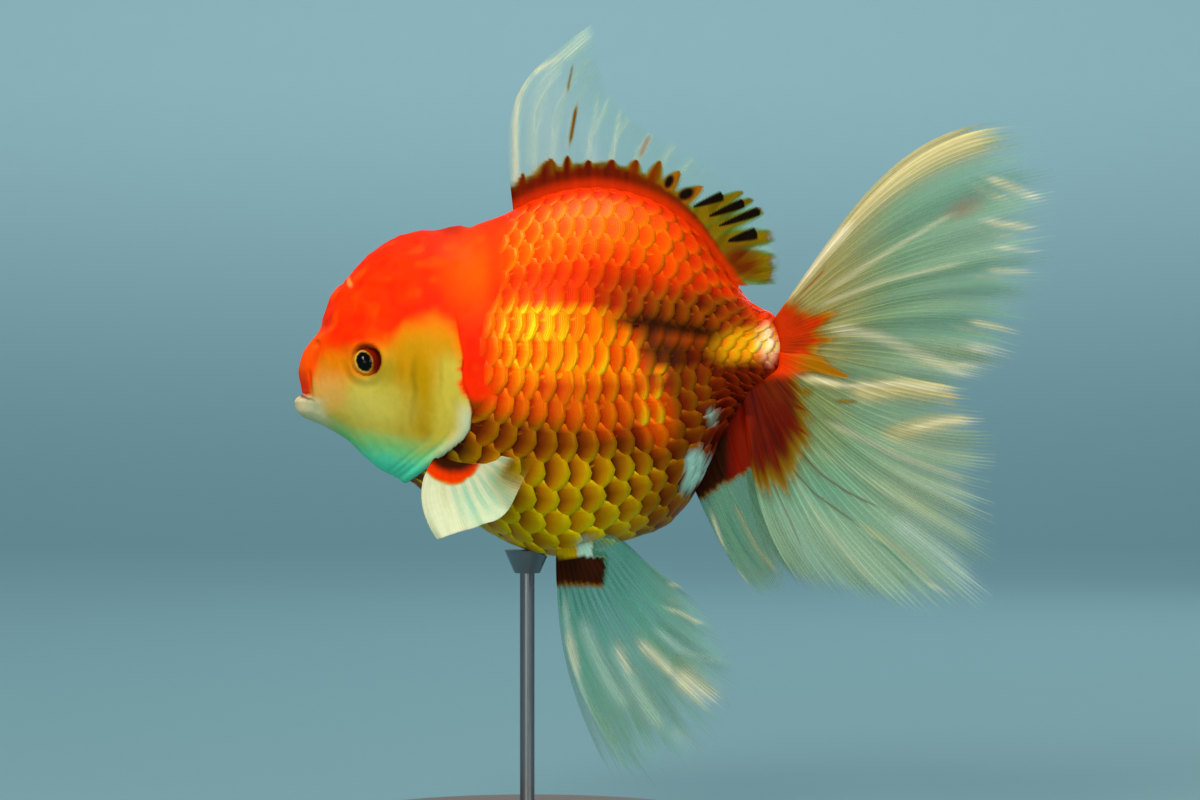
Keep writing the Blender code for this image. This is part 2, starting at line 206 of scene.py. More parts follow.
def trunkMarkings(points):
    # Root, middle and rim colours of the scales at each point, and how metallic they are.
    x, z = points[:, 0] + 1.1 * mottle(points, 5.0, 3), points[:, 2] + 1.1 * mottle(points, 5.0, 8)
    c = palette
    count = len(points)
    root, mid, rim = spread(c["backDeep"], count), spread(c["backRed"], count), spread(c["backOrange"], count)
    metal = np.full(count, 0.25)
    depth = backAt(x) - z

    def lay(weight, rootColour, midColour, rimColour, shine):  # blends new colours and shine over what is there
        nonlocal root, mid, rim, metal
        root, mid, rim = (blend(*pair, weight) for pair in ((root, rootColour), (mid, midColour), (rim, rimColour)))
        metal = metal * (1 - weight) + shine * weight

    wash = window(depth, 3.5, 15, 3.0) * smooth(-14, -4, x) * fall(26, 42, x)
    lay(wash * 0.85, c["backRed"] * 0.7 + c["backOrange"] * 0.3, c["backRed"] * 0.3 + c["backOrange"] * 0.7,
        c["gold"], 0.15)
    lay(window(z, 119.5, 126.5, 2.0) * smooth(-10, 6, x) * fall(24, 36, x) * 0.95,
        c["backDeep"], c["rearBrown"] * 0.4 + c["backRed"] * 0.6, c["backRed"], 0.15)
    rear = smooth(131.0 - 0.25 * (x - 12), 119.0, z) * smooth(10, 24, x) * fall(48, 54, x)
    lay(rear * 0.9, c["maroon"], c["rearBrown"], c["rearRim"], 0.15)
    flank = window(z, 101.2, 119.0 - 0.18 * np.maximum(x - 4, 0), 1.1) * fall(23, 29, x)
    lay(flank, c["goldRoot"], c["gold"], c["gold"] * 0.68 + c["goldLight"] * 0.32, 0.36)
    lay(window(z, 92.5, 101.4, 1.2) * fall(26, 32, x), c["orangeRoot"], c["orange"], c["gold"] * 0.8, 0.25)
    belly = fall(91.0, 93.6, z + 0.22 * np.maximum(x - 12, 0) - 0.25 * np.maximum(8 - x, 0))
    lay(belly, c["brownRoot"], c["brown"], c["brownRim"], 0.15)
    low = fall(82.5, 87.5, z)
    lay(low, c["oliveRoot"], c["oliveMid"], c["oliveRim"], 0.15)
    lay(fall(70.0, 77.0, z), c["oliveMid"] * 0.8, c["limeMid"], c["limeRim"], 0.12)
    lay(smooth(23, 33, x + 0.25 * (86 - z)) * fall(92, 97, z) * 0.85, c["brownRoot"] * 0.5 + c["maroon"] * 0.5,
        c["brown"], c["brownRim"] * 0.7, 0.2)
    # the rear flank: two near-black bands with a thin red line between them, and an orange patch below
    lay(window(z, 103.0, 120.0, 1.5) * smooth(24, 29, x) * fall(41, 45, x) * 0.7,
        c["dark"], c["brown"], c["rearRim"], 0.12)
    lay(blob(x, z, 31.0, 113.2, 12.5, 2.6, -8), c["dark"], c["dark"], c["darkRim"], 0.08)
    lay(blob(x, z, 31.0, 108.2, 7.0, 2.3, -8) * 0.75, c["dark"], c["dark"], c["darkRim"], 0.08)
    lay(blob(x, z, 39.0, 107.0, 5.0, 2.2, -14) * 0.9, c["maroonDark"], c["maroon"], c["rearBrown"], 0.08)
    lay(blob(x, z, 35.0, 110.6, 8.0, 0.55, -9) * 0.6, c["brown"], c["orange"] * 0.7, c["orange"], 0.2)
    lay(blob(x, z, 35.0, 99.8, 8.0, 4.6, -20), c["maroon"], c["rearBrown"] * 0.6 + c["brown"] * 0.4,
        c["brownRim"] * 0.8, 0.12)
    lay(blob(x, z, 28.6, 103.8, 1.8, 0.7), c["gold"], c["gold"], c["goldLight"], 0.6)
    lay(blob(x, z, 28.4, 94.2, 3.6, 6.2, 12, 0.5), c["goldRoot"], c["orange"] * 1.1, c["gold"], 0.45)
    lay(smooth(37.5, 43.0, x + 0.15 * (100 - z)) * fall(104, 109, z), c["maroonDark"], c["maroon"],
        c["rearBrown"], 0.15)
    lay(blob(x, z, 40.6, 94.6, 1.3, 1.5, 0, 0.6), c["olive"] * 0.6, c["mint"] * 0.7, c["mint"], 0.2)
    # the peduncle: a gold patch, and behind it a painted highlight at the root of the tail
    lay(blob(x, z, 47.4, 110.0, 6.4, 3.9, 12, 0.45), c["gold"], c["gold"] * 0.4 + c["goldLight"] * 0.6,
        c["goldLight"], 0.35)
    # painted highlight: a near-white glare at the root of the tail
    lay(blob(x, z, 53.4, 110.6, 2.2, 4.2, 0, 0.4), c["goldLight"], c["tailRootGlare"], c["tailRootGlare"], 0.35)
    ragged = 1.8 * mottle(points, 2.0, 91)
    lay(blob(points[:, 0] + ragged, points[:, 2] - ragged, 36.8, 82.0, 2.3, 4.6, -22, 0.1),
        c["mint"] * 0.9, c["mint"], c["mint"] * 1.2, 0.1)
    lay(blob(x, z, 13.4, 65.6, 2.2, 1.8, -10, 0.5), c["mint"] * 0.8, c["mint"], c["mint"] * 1.1, 0.3)
    ridge = fall(0.6, 3.4, depth)
    lay(ridge * smooth(-20, -8, x), c["backDeep"], c["backRed"], c["backRed"], 0.2)
    # painted shadow: darker scales between the gill cover and the root of the pectoral fin
    lay(blob(x, z, -15.0, 87.0, 4.8, 3.4, -15, 0.7) * 0.85, c["dark"], c["oliveDark"] * 0.5, c["oliveDark"] * 0.8, 0.1)
    # scales take up the red of the bare skin where they begin, above the level of the fin
    shoulder = fall(-11.0, -2.0, x + 1.5 * mottle(points, 4.5, 79)) * smooth(96.5, 99.5, z)
    lay(shoulder, c["hood"], c["hood"], c["hood"] * 0.85, 0.08)
    return root, mid, rim, np.clip(metal, 0, 1)


# the hood's lower edge: from the mouth up past the nostril, over the eye, then over the gill cover and down
hoodEdge = {"x": (-52, -47.4, -46.2, -45.0, -43.4, -39, -33.8, -31, -29, -27.3, -26.0, -22.9, -18.9, -16.5, -15.3,
                  -13, -9),
            "z": (98.6, 100.2, 104.0, 106.8, 108.8, 109.2, 110.2, 110.7, 111.3, 113.0, 114.8, 115.8, 115.9, 115.0,
                  113.4, 106, 80)}


def headMarkings(points):
    # The red hood over the crown, darker on top by painted shade, orange about the snout, yellow-green cheeks and gill
    # covers with painted highlights on the cheeks, pale lips, and a pale throat with painted aqua light.
    x, y, z = points.T
    c = palette
    count = len(points)
    jx, jz = x + 0.8 * mottle(points, 3.4, 21), z + 0.8 * mottle(points, 3.4, 25)
    e = x - gillEdge(z)
    # yellow ochre under the hood, paler towards the rear edge of the gill cover
    colour = blendAll(spread(c["cheek"], count), (
        (c["ochreGill"], smooth(97, 105, jz) * smooth(-31, -26, jx) * 0.9),
        (c["gillPale"], smooth(-21.5, -16.5, jx) * fall(104, 110, jz)),
        (c["olive"], bell(jx, -25.9 - 0.06 * (104 - z), 1.5) * window(z, 92, 103, 2.5) * 0.55),
        (c["olive"], bell(jx, -21.6 - 0.06 * (104 - z), 2.1) * window(z, 90, 106, 2.5) * 0.85),
        (c["oliveDark"], bell(jx, -23.7 - 0.05 * (104 - z), 0.7) * window(z, 92, 106, 3.0) * 0.45),
        (c["oliveDark"], blob(jx, jz, -31.2, 103.4, 4.6, 2.4, 18, 0.7) * 0.38),
        # painted highlight: a pale patch where light falls on the cheek under the eye
        (c["cheekHighlight"], blob(jx, jz, -34.0, 96.6, 8.0, 5.0, -14, 0.9) * 0.9)))
    # faint veins, the pale chin and throat with painted aqua light in them, and the pale rim of the gill cover
    veins = noise(points * np.array([1.0, 1.0, 0.22]), 1.5, 67)
    level = np.interp(x, (-48, -44, -37, -30, -22), (95.4, 92.6, 90.0, 88.8, 87.6))
    colour = blendAll(colour, (
        (c["oliveDark"], 0.22 * smooth(0.5, 0.9, veins) * smooth(-32, -27, x) * window(z, 90, 108, 3.0)),
        (c["chinAquaLight"], fall(-1.6, 3.8, jz - level)),
        (c["throatAquaLight"], fall(-5.2, -0.4, jz - level)),
        (c["gillPale"], bell(e, -5.2, 1.4) * window(z, 87, 97, 2.0) * 0.7),
        (c["lip"], bell(e, -1.3, 1.5) * window(z, 86, 97, 2.0) * 0.6),
        (c["mint"] * 0.7 + c["lip"] * 0.2, bell(e, -0.3, 0.9) * window(z, 85, 96, 2.5) * 0.55)))
    # orange from the snout along the cheek to under the eye, and along the hood's edge
    edge = np.interp(x, hoodEdge["x"], hoodEdge["z"])
    colour = blendAll(colour, (
        (c["gillOrange"], blob(jx, jz, -43.6, 104.6, 4.2, 5.6, 8, 0.7) * 0.95),
        (c["gillOrange"], blob(jx, jz, -38.6, 106.0, 5.5, 3.6, 0, 0.7) * 0.75),
        # painted highlight: a pale cream patch on the cheek near the mouth
        (c["creamAndHighlight"], blob(jx, jz, -43.4, 99.6, 3.6, 4.4, 20, 0.9) * 0.8),
        (c["snout"], fall(-47.6, -44.4, jx - 0.25 * (z - 104))),
        (c["gillOrange"], smooth(-7.0, -0.5, jz - edge) * 0.9 * smooth(-47, -43, x))))
    # the hood's own red: deeper and more orange patches, with painted shade making it darker on the crown
    red = blendAll(spread(c["hood"], count), (
        (c["hoodDeep"], 0.55 * smooth(0.3, 0.8, noise(points, 7.0, 31))),
        (c["backOrange"], 0.30 * smooth(0.52, 0.85, noise(points, 3.2, 33))),
        (c["hoodDeep"], 0.45 * smooth(0.55, 0.85, noise(points, 2.4, 35))),
        (c["backOrange"], 0.55 * blob(jx, jz, -47.6, 108.0, 4.5, 6.0, 20, 0.7)),
        (c["backOrange"], 0.6 * blob(jx, jz, -11.0, 126.5, 6.0, 8.0, 0, 0.9))))
    # painted shade: the red darkened towards the top of the crown
    red = blend(red, red * 0.72, smooth(124, 135, z))
    # lips and the pale lower jaw, then the smooth red skin right behind the gill cover and down to the fin
    jaw = fall(99.0, 99.9, z + 0.10 * np.abs(y)) * fall(-47.2, -42.4, jx - 0.4 * (98 - z))
    notched = 1.1 * mottle(points, 2.2, 87) * smooth(97, 100, z) + 0.9 * bell(z, 103.2, 2.6)
    return blendAll(colour, (
        (red, smooth(-3.0, 2.0, jz - edge)),
        (c["lip"], jaw * 0.9),
        # painted shade: a dark line in the groove along the upper jaw
        (c["maroon"], bell(x, -46.7 + 0.12 * (103 - z), 0.35) * window(z, 99.8, 103.8, 1.2) * 0.3),
        (red, smooth(-0.3, 0.5, e + notched) * smooth(96.5, 99, jz)),
        (c["brown"], smooth(0.0, 0.5, e) * fall(96.5, 99, jz)),
        # a small pale nick at the front edge of the hood, a darker bump on the nape
        (c["creamAndHighlight"], blob(x, z, -38.6, 123.6, 0.55, 1.0, 30, 0.8) * (np.abs(y) > 1.5) * 0.6),
        (c["backDeep"] * 0.6, blob(x, z, -16.2, 136.0, 3.0, 2.2, 0, 0.7) * 0.75)))


def skinMarkings(points):  # head colours in front, the colours of the scales' roots behind
    root, mid = trunkMarkings(points)[:2]
    x, z = points[:, 0], points[:, 2]
    behind = smooth(-9.5, -6.0, x) * smooth(93, 97, z) + smooth(-0.3, 0.6, x - gillEdge(z)) * fall(93, 97, z)
    return blend(headMarkings(points), root * 0.6 + mid * 0.4, np.clip(behind, 0, 1))


def ringFaces(rings, segments):
    # Faces of a closed tube of rings of points, with a point for each end after the rings: quads, first cap, last cap
    i, j = np.meshgrid(np.arange(rings - 1), np.arange(segments), indexing="ij")
    k = (j + 1) % segments
    quads = np.stack([i * segments + j, (i + 1) * segments + j, (i + 1) * segments + k, i * segments + k], -1)
    ring, nextRing = np.arange(segments), (np.arange(segments) + 1) % segments
    total = rings * segments
    base = total - segments
    firstCap = np.stack([np.full(segments, total), ring, nextRing], -1)
    lastCap = np.stack([base + ring, np.full(segments, total + 1), base + nextRing], -1)
    return [quads.reshape(-1, 4), firstCap, lastCap]


def gridQuads(rows, columns):  # the four corners of each face in a grid of points
    g = np.arange(rows * columns).reshape(rows, columns)
    return np.stack([g[:-1, :-1], g[1:, :-1], g[1:, 1:], g[:-1, 1:]], -1).reshape(-1, 4)


def newMesh(name, points, faces, material, uv=None):
    # points in millimetres; faces as rows of equal length, or a list of such blocks; uv as one pair for each corner
    mesh = bpy.data.meshes.new(name)
    faces = [np.asarray(f, np.int32) for f in (faces if isinstance(faces, list) else [faces])]
    mesh.vertices.add(len(points))
    mesh.vertices.foreach_set("co", (np.asarray(points, np.float64) * mm).astype(np.float32).ravel())
    sizes = np.concatenate([np.full(len(f), f.shape[1], np.int32) for f in faces])
    starts = np.concatenate([[0], np.cumsum(sizes)[:-1]]).astype(np.int32)
    mesh.loops.add(int(sizes.sum()))
    mesh.loops.foreach_set("vertex_index", np.concatenate([f.ravel() for f in faces]))
    mesh.polygons.add(len(sizes))
    mesh.polygons.foreach_set("loop_start", starts)
    mesh.update(calc_edges=True)
    if uv is not None:
        layer = mesh.uv_layers.new(name="OFBake")
        layer.data.foreach_set("uv", np.asarray(uv, np.float32).ravel())
    mesh.validate()
    mesh.polygons.foreach_set("use_smooth", np.ones(len(mesh.polygons), bool))
    obj = bpy.data.objects.new(name, mesh)
    bpy.context.scene.collection.objects.link(obj)
    mesh.materials.append(material)
    return obj


def putValues(obj, **layers):  # stores one number for each point under each name
    for name, values in layers.items():
        layer = obj.data.attributes.new(name, "FLOAT", "POINT")
        layer.data.foreach_set("value", np.asarray(values, np.float32))


def putColour(obj, colours, alpha=None):  # stores each point's colour, and how solid it is, as "marking"
    alpha = np.ones(len(colours)) if alpha is None else alpha
    layer = obj.data.attributes.new("marking", "FLOAT_COLOR", "POINT")
    layer.data.foreach_set("color", np.column_stack([colours, alpha]).astype(np.float32).ravel())


shaderInputs = {"coat": "Coat Weight", "coatRoughness": "Coat Roughness", "roughness": "Roughness",
                "metallic": "Metallic", "specular": "Specular IOR Level"}


def newMaterial(name, **constants):  # a material, its node tree and its shader with these fixed inputs
    material = bpy.data.materials.new(name)
    material.use_nodes = True
    tree = material.node_tree
    shader = tree.nodes["Principled BSDF"]
    for key, value in constants.items():
        shader.inputs[shaderInputs[key]].default_value = value
    return material, tree, shader


def addNode(tree, kind, **settings):  # a node; each setting is the value of an input or of a property
    node = tree.nodes.new(kind)
    for key, value in settings.items():
        if key in node.inputs:
            node.inputs[key].default_value = value
        else:
            setattr(node, key, value)
    return node


def addMath(tree, operation, *values, clamp=False):  # a sum; each value is a number or the output of another node
    node = addNode(tree, "ShaderNodeMath", operation=operation, use_clamp=clamp)
    for n, value in enumerate(values):
        if isinstance(value, (int, float)):
            node.inputs[n].default_value = value
        else:
            tree.links.new(value, node.inputs[n])
    return node.outputs[0]


def addShade(tree, colour, factor):  # a colour made lighter or darker by a factor
    node = addNode(tree, "ShaderNodeVectorMath", operation="SCALE")
    tree.links.new(colour, node.inputs[0])
    tree.links.new(factor, node.inputs["Scale"])
    return node.outputs[0]


def stored(tree, name):  # the outputs of a node that reads what the points carry under this name
    return addNode(tree, "ShaderNodeAttribute", attribute_name=name).outputs


def newGroup(name, inputs, outputs):
    # inputs: name, socket kind, value; outputs: name, socket kind. Back come the group and the sockets inside it
    group = bpy.data.node_groups.new(name, "ShaderNodeTree")
    for label, kind, value in inputs:
        group.interface.new_socket(label, in_out="INPUT", socket_type=kind).default_value = value
    for label, kind in outputs:
        group.interface.new_socket(label, in_out="OUTPUT", socket_type=kind)
    return group, group.nodes.new("NodeGroupInput").outputs, group.nodes.new("NodeGroupOutput").inputs


def useGroup(tree, group, **values):  # a node that runs the group with these values
    node = tree.nodes.new("ShaderNodeGroup")
    node.node_tree = group
    for label, value in values.items():
        node.inputs[label].default_value = value
    return node


def makeMottleGroup():
    # Colour varied by two sizes of noise: light = 1 + amount * (noise - 0.5) * 2, and a matching height and roughness
    group, source, target = newGroup(
        "fineMottle",
        [("Colour", "NodeSocketColor", (1, 1, 1, 1)), ("Size", "NodeSocketFloat", 900.0),
         ("Amount", "NodeSocketFloat", 0.2), ("Rough", "NodeSocketFloat", 0.35),
         ("RoughVary", "NodeSocketFloat", 0.1)],
        [("Colour", "NodeSocketColor"), ("Roughness", "NodeSocketFloat"), ("Height", "NodeSocketFloat")])
    link = group.links.new
    place = addNode(group, "ShaderNodeTexCoord")
    grain = addNode(group, "ShaderNodeTexNoise", Detail=4.0, Roughness=0.6)
    link(place.outputs["Object"], grain.inputs["Vector"])
    link(source["Size"], grain.inputs["Scale"])
    swing = addMath(group, "MULTIPLY_ADD", grain.outputs["Fac"], 2.0, -1.0)
    light = addMath(group, "MULTIPLY_ADD", swing, source["Amount"], 1.0)
    link(addShade(group, source["Colour"], light), target["Colour"])
    link(addMath(group, "MULTIPLY_ADD", swing, source["RoughVary"], source["Rough"]), target["Roughness"])
    link(grain.outputs["Fac"], target["Height"])
    return group


fineMottle = makeMottleGroup()


def finishWith(tree, shader, group, strength, distance, height=None):
    # Wires a group's colour and roughness to the shader, and a height through a bump: the given one or the group's own
    link = tree.links.new
    link(group.outputs["Colour"], shader.inputs["Base Color"])
    link(group.outputs["Roughness"], shader.inputs["Roughness"])
    bumpNode = addNode(tree, "ShaderNodeBump", Strength=strength, Distance=distance)
    link(height or group.outputs["Height"], bumpNode.inputs["Height"])
    link(bumpNode.outputs["Normal"], shader.inputs["Normal"])


def markedMaterial(name, mottling, **constants):
    # A material that takes its colour from the points' own "marking", varied by the fine mottle
    material, tree, shader = newMaterial(name, **constants)
    grain = useGroup(tree, fineMottle, **mottling)
    tree.links.new(stored(tree, "marking")["Color"], grain.inputs["Colour"])
    return material, tree, shader, grain


# "split" is the x where the finer rings of the head end; "coatDepth" is how deep the skin lies under the scales
skin = {"headRings": 250, "bodyRings": 130, "segments": 250, "coatDepth": 0.85, "split": -10.0, "gillHang": 0.75,
        "lipReach": 0.30}
unwrap = {"edge": 0.01, "size": 0.98}  # shares of the square
eye = {"x": -34.4, "y": 13.5, "z": 106.2, "radius": 3.5}


def eyeDistance(points):  # distance in side view from the eye's centre, slightly taller than long
    return np.hypot(points[:, 0] - eye["x"], (points[:, 2] - eye["z"]) * 0.95)


def mouthSlit(y):  # height of the slit between the lips
    return 99.35 - 0.16 * np.abs(y)


def shoulderFade(points):  # 0 on the bare skin behind the head, growing unevenly to 1 where the scales stand free
    ragged = 3.0 * mottle(points * np.array([0.6, 1, 1]), 5.5, 77)
    return smooth(-15.5, -1.0, points[..., 0] + ragged)


def skinRelief(points):
    # How far the skin stands out from the solids, as a sum of folds, bumps and grooves; minus is inwards
    x, y, z = points.T
    ay = np.abs(y)
    e = x - gillEdge(z)
    hasGill = fall(115.5, 119.0, z) * smooth(77.5, 80.5, z)
    fade = shoulderFade(points)
    nape = smooth(-14.5, -11.0, x) * (0.5 + 0.5 * fade)
    behind = smooth(-0.12, 0.35, e) * (0.5 + 0.5 * fade)
    behind = np.maximum(behind, smooth(-0.12, 0.35, e) * fall(95.5, 98.5, z))
    inset = skin["coatDepth"] * (hasGill * behind + (1 - hasGill) * nape)
    onHead = 1 - smooth(-0.2, 0.4, e) * hasGill - (1 - hasGill) * smooth(-14, -8, x)
    onHead = np.clip(onHead, 0, 1)
    out = -inset
    # gill cover: a rolled rear edge, a low dome, a groove in front of it and faint folds under it
    lowGill = hasGill * fall(106, 117, z)
    out += 0.36 * bell(e, -0.9, 1.2) * lowGill
    preopercle = -23.9 + 0.010 * (z - 100) ** 2
    out += 0.40 * blob(x, z, -18.6, 100.0, 7.0, 12.0, 0, 0.9) * lowGill
    out -= 0.24 * bell(x, preopercle, 0.9) * window(z, 90, 108, 4.0)
    out += 0.14 * bell(x, preopercle - 1.9, 1.3) * window(z, 90, 108, 4.0)
    out += 0.12 * mottle(points * np.array([1.6, 1, 0.5]), 2.2, 61) * onHead * lowGill
    for step in (3.0, 5.0, 7.0):
        out -= 0.20 * bell(e, -step, 0.45) * window(z, 80, 93, 2.0)
    # eye: the skin opens round the ball, with a raised rim and a soft pouch below
    r = eyeDistance(points)
    flank = ay > 8
    opening = np.hypot(x - eye["x"] - 0.22, (z - eye["z"] - 0.18) * 0.96)
    out = np.where(flank, out * smooth(2.2, 4.4, r) - 3.0 * fall(2.75, 3.30, opening), out)
    out += 0.32 * bell(opening, 3.85, 0.60) * flank
    out -= 0.22 * bell(r, 5.2, 0.6) * flank * (z < eye["z"])
    out += 0.35 * blob(x, z, -36.0, 112.0, 6.5, 2.2, 8, 0.7) * flank
    # snout and mouth
    front = fall(-47.5, -44.5, x)
    slit = mouthSlit(y)
    ajar = front * fall(5.0, 8.5, ay)
    out -= 0.35 * bell(z, slit, 0.34) * front * (ay < 6.5)
    out -= 1.45 * smooth(99.0, 99.5, z) * fall(99.6, 105.2, z) * ajar
    out -= 1.00 * smooth(97.5, 99.2, z) * fall(99.2, 99.6, z) * ajar
    out += 0.18 * bell(z, slit - 2.9, 1.5) * ajar
    out -= 1.05 * bell(z, 114.6, 3.8) * fall(-44.0, -39.5, x) * fall(7.0, 13.0, ay)
    cheekLine = -47.2 + 0.10 * (103 - z)
    out -= 0.26 * bell(x, cheekLine, 0.42) * window(z, 98.0, 104.2, 0.8)
    out += 0.28 * bell(x, cheekLine + 1.1, 0.8) * window(z, 96.5, 105.0, 1.2)
    # a fold along the lower rear edge of the gill cover
    out -= 0.26 * bell(e, -3.4, 0.45) * window(z, 86, 98, 1.5)
    out += 0.12 * bell(e, -4.4, 0.7) * window(z, 86, 98, 1.5)
    # nostril: a pit with a small flap behind it
    n = np.hypot(x + 45.9, z - 110.4)
    out += 0.40 * bell(np.hypot(x + 45.2, z - 111.3), 0.0, 1.1) * (ay > 2.5)
    out -= 0.70 * bell(n, 0.0, 0.70) * (ay > 2.5)
    # brow step, front edge of the hood, nape bump, and the hood's soft warty relief
    frontal = fall(9, 13, ay) * smooth(111.5, 113.5, z)
    out += frontal * (0.12 * np.sin((z - 107.6) / 6.1 * 2 * np.pi - 0.15 * ay) * fall(-40, -36, x))
    out -= 0.16 * bell(z, 114.6, 1.1) * frontal * fall(-43, -40, x)
    cap = smooth(-0.6, 0.6, (x + 38.6) * 0.72 + (z - 123.4) * 0.69 - 0.03 * ay**2 + 0.6)
    hoodTop = smooth(112.5, 117.5, z) * fall(-15, -9, x)
    out += 0.36 * cap * smooth(119, 123, z) * fall(-22, -14, x)
    crest = np.exp(-(ay / 6.5) ** 2) * (z > 128)
    out += crest * (0.50 * bell(x, -16.2, 2.1) - 0.30 * bell(x, -20.8, 1.6) - 0.55 * bell(x, -12.8, 1.2))
    warts = mottle(points, 5.0, 41) * 0.30 + mottle(points, 2.2, 47) * 0.17 + mottle(points, 1.2, 49) * 0.06
    out += warts * hoodTop
    out += mottle(points, 5.5, 53) * 0.10 * onHead
    return out


def makeSkin():
    # One closed skin: rings of points from the snout to the root of the tail, moved out or in by the relief
    last = body["last"]
    split = placeAt(skin["split"])
    t = np.linspace(0, 1, skin["headRings"] + 1)[1:]
    headPlaces = split * (0.55 * t + 0.45 * t**1.8)
    bodyPlaces = split + (last - split) * np.linspace(0, 1, skin["bodyRings"] + 1)[1:-1]
    tailPlaces = last - (last - bodyPlaces[-1]) * np.array([0.6, 0.3, 0.1])
    places = np.concatenate([[headPlaces[0] * 0.35], headPlaces, bodyPlaces, tailPlaces])
    turns = np.linspace(0, 2 * np.pi, skin["segments"], endpoint=False)
    p, t = np.meshgrid(places, turns, indexing="ij")
    rings, segments = p.shape
    ends = stations[[0, -1]][:, [0, 3, 1]]
    surface = np.vstack([bodyPoint(p, t).reshape(-1, 3), ends])
    normals = np.vstack([bodyNormal(p, t).reshape(-1, 3), [[-1, 0, 0], [1, 0, 0]]])
    x, y, z = surface.T
    e = x - gillEdge(z)
    relief = skinRelief(surface)
    relief[-1] = -skin["coatDepth"]
    moved = surface + normals * relief[:, None]
    # the gill cover's edge hangs back over the flank; the lower lip reaches a little further than the upper one
    moved[:, 0] += skin["gillHang"] * bell(e, -0.25, 0.5) * window(z, 80, 116, 2.0)
    lower = fall(98.2, 99.2, z) * smooth(93.4, 96.0, z) * fall(-48.4, -45.5, x)
    moved[:, 0] -= skin["lipReach"] * lower

    # unwrap: length along the fish across, the turn round it upwards; each end point spreads over its whole edge
    length = ends[1, 0] - ends[0, 0]
    u = unwrap["edge"] + unwrap["size"] * (x[:rings * segments:segments] - ends[0, 0]) / length
    u = np.maximum.accumulate(u + np.arange(rings) * 1e-5)

    def onUnwrap(across, turn):  # pairs for places across and turns counted in segments
        return np.stack(np.broadcast_arrays(across, unwrap["edge"] + unwrap["size"] * turn / segments), -1)

    i, j = np.meshgrid(np.arange(rings - 1), np.arange(segments), indexing="ij")
    ring = np.arange(segments)
    uv = [[onUnwrap(u[i + di], j + dj) for di, dj in ((0, 0), (1, 0), (1, 1), (0, 1))],
          [onUnwrap(0.004, ring + 0.5), onUnwrap(u[0], ring), onUnwrap(u[0], ring + 1)],
          [onUnwrap(u[-1], ring), onUnwrap(0.998, ring + 0.5), onUnwrap(u[-1], ring + 1)]]
    uv = np.vstack([np.stack(corners, -2).reshape(-1, 2) for corners in uv])

    material, tree, shader, grain = markedMaterial(
        "wetSkin", {"Size": 700.0, "Amount": 0.10, "Rough": 0.54, "RoughVary": 0.14},
        coat=0.003, coatRoughness=0.2, roughness=0.64, specular=0.02)
    finishWith(tree, shader, grain, 0.25, 0.0002)
    obj = newMesh("skin", moved, ringFaces(rings, segments), material, uv)
    # painted shade: darker colour in the eye's socket, most on its upper rear side, in the mouth's slit and under the
    # gill cover's edge
    above = smooth(-2.0, 2.5, (x - eye["x"]) * 0.7 + (z - eye["z"]) * 0.7)
    socket = fall(3.0, 4.3, eyeDistance(surface)) * (np.abs(y) > 8) * (0.12 + 0.75 * above)
    putColour(obj, blendAll(skinMarkings(surface), (
        (palette["socket"], socket),
        (palette["mouth"], bell(z, mouthSlit(y), 0.26) * fall(-47.5, -45, x) * 0.85),
        (palette["underGillShade"], bell(e, 0.55, 0.45) * window(z, 82, 101, 2.0) * 0.5))))
    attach(obj, "root")
    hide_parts("head", "trunk", "tail_peduncle")
    print("skin", len(obj.data.polygons))


makeSkin()


# rows and columns of the coat; one scale's reach, rise and thickness; how it flattens on back and flank and sinks
# in at the shoulder; the random jitter across, along, in lift and in size; patches on the unwrap
coat = {"rowsAbove": 7, "rowsBelow": 10, "firstX": -14.0, "lastX": 55.2, "pitch": 3.3, "leastRow": 2.5,
        "front": 1.3, "rootReach": 0.95, "halfRows": 0.86, "rise": 0.72, "dome": 0.16, "thickness": 0.12, "steps": 7,
        "tilt": 0.26, "proud": 0.03, "flatBack": 0.77, "flatFlank": 0.20, "buried": 0.44, "tone": 0.07,
        "seeds": {"left": 71, "right": 73}, "jitter": (0.035, 0.025, 0.03, 0.03), "patch": 0.0034,
        "patchStep": 0.0075}

# turns, distances from the lateral line and places along the fish at which the coat's lattice is worked out once
arcTurns = np.linspace(-np.pi, 2 * np.pi, 721)
arcStep = 0.5
arcReach = np.arange(-60.0, 90.0 + arcStep, arcStep)
rowPlaces = np.linspace(1.5, body["last"] - 0.05, 220)


def lateralHeight(x):  # height of the lateral line
    return np.interp(x, (-16, 10, 30, 45, 58), (114.6, 113.6, 111.4, 110.0, 109.3))


def makeRowTable():
    # For each place, the turn found at each distance round the body from the lateral line
    p, t = np.meshgrid(rowPlaces, arcTurns, indexing="ij")
    line = bodyPoint(p, t)
    x = line[:, 0, 0]
    lengths = np.concatenate([np.zeros((len(rowPlaces), 1)),
                              np.cumsum(np.linalg.norm(np.diff(line, axis=1), axis=2), axis=1)], axis=1)
    values = smoothRows(bodyRows, rowPlaces)
    level = values[:, 2] + body["widest"] * (values[:, 1] - values[:, 2])
    lateral = np.arccos(np.clip((lateralHeight(x) - level) / np.maximum(values[:, 1] - level, 0.01), -1, 1))
    turnsAt = np.empty((len(rowPlaces), len(arcReach)))
    above, below = np.empty(len(rowPlaces)), np.empty(len(rowPlaces))
    for n in range(len(rowPlaces)):
        zero = np.interp(lateral[n], arcTurns, lengths[n])
        turnsAt[n] = np.interp(arcReach + zero, lengths[n], arcTurns)
        above[n] = zero - np.interp(0, arcTurns, lengths[n])
        below[n] = np.interp(np.pi, arcTurns, lengths[n]) - zero
    return x, turnsAt, above, below


rowX, rowTurns, arcAbove, arcBelow = makeRowTable()


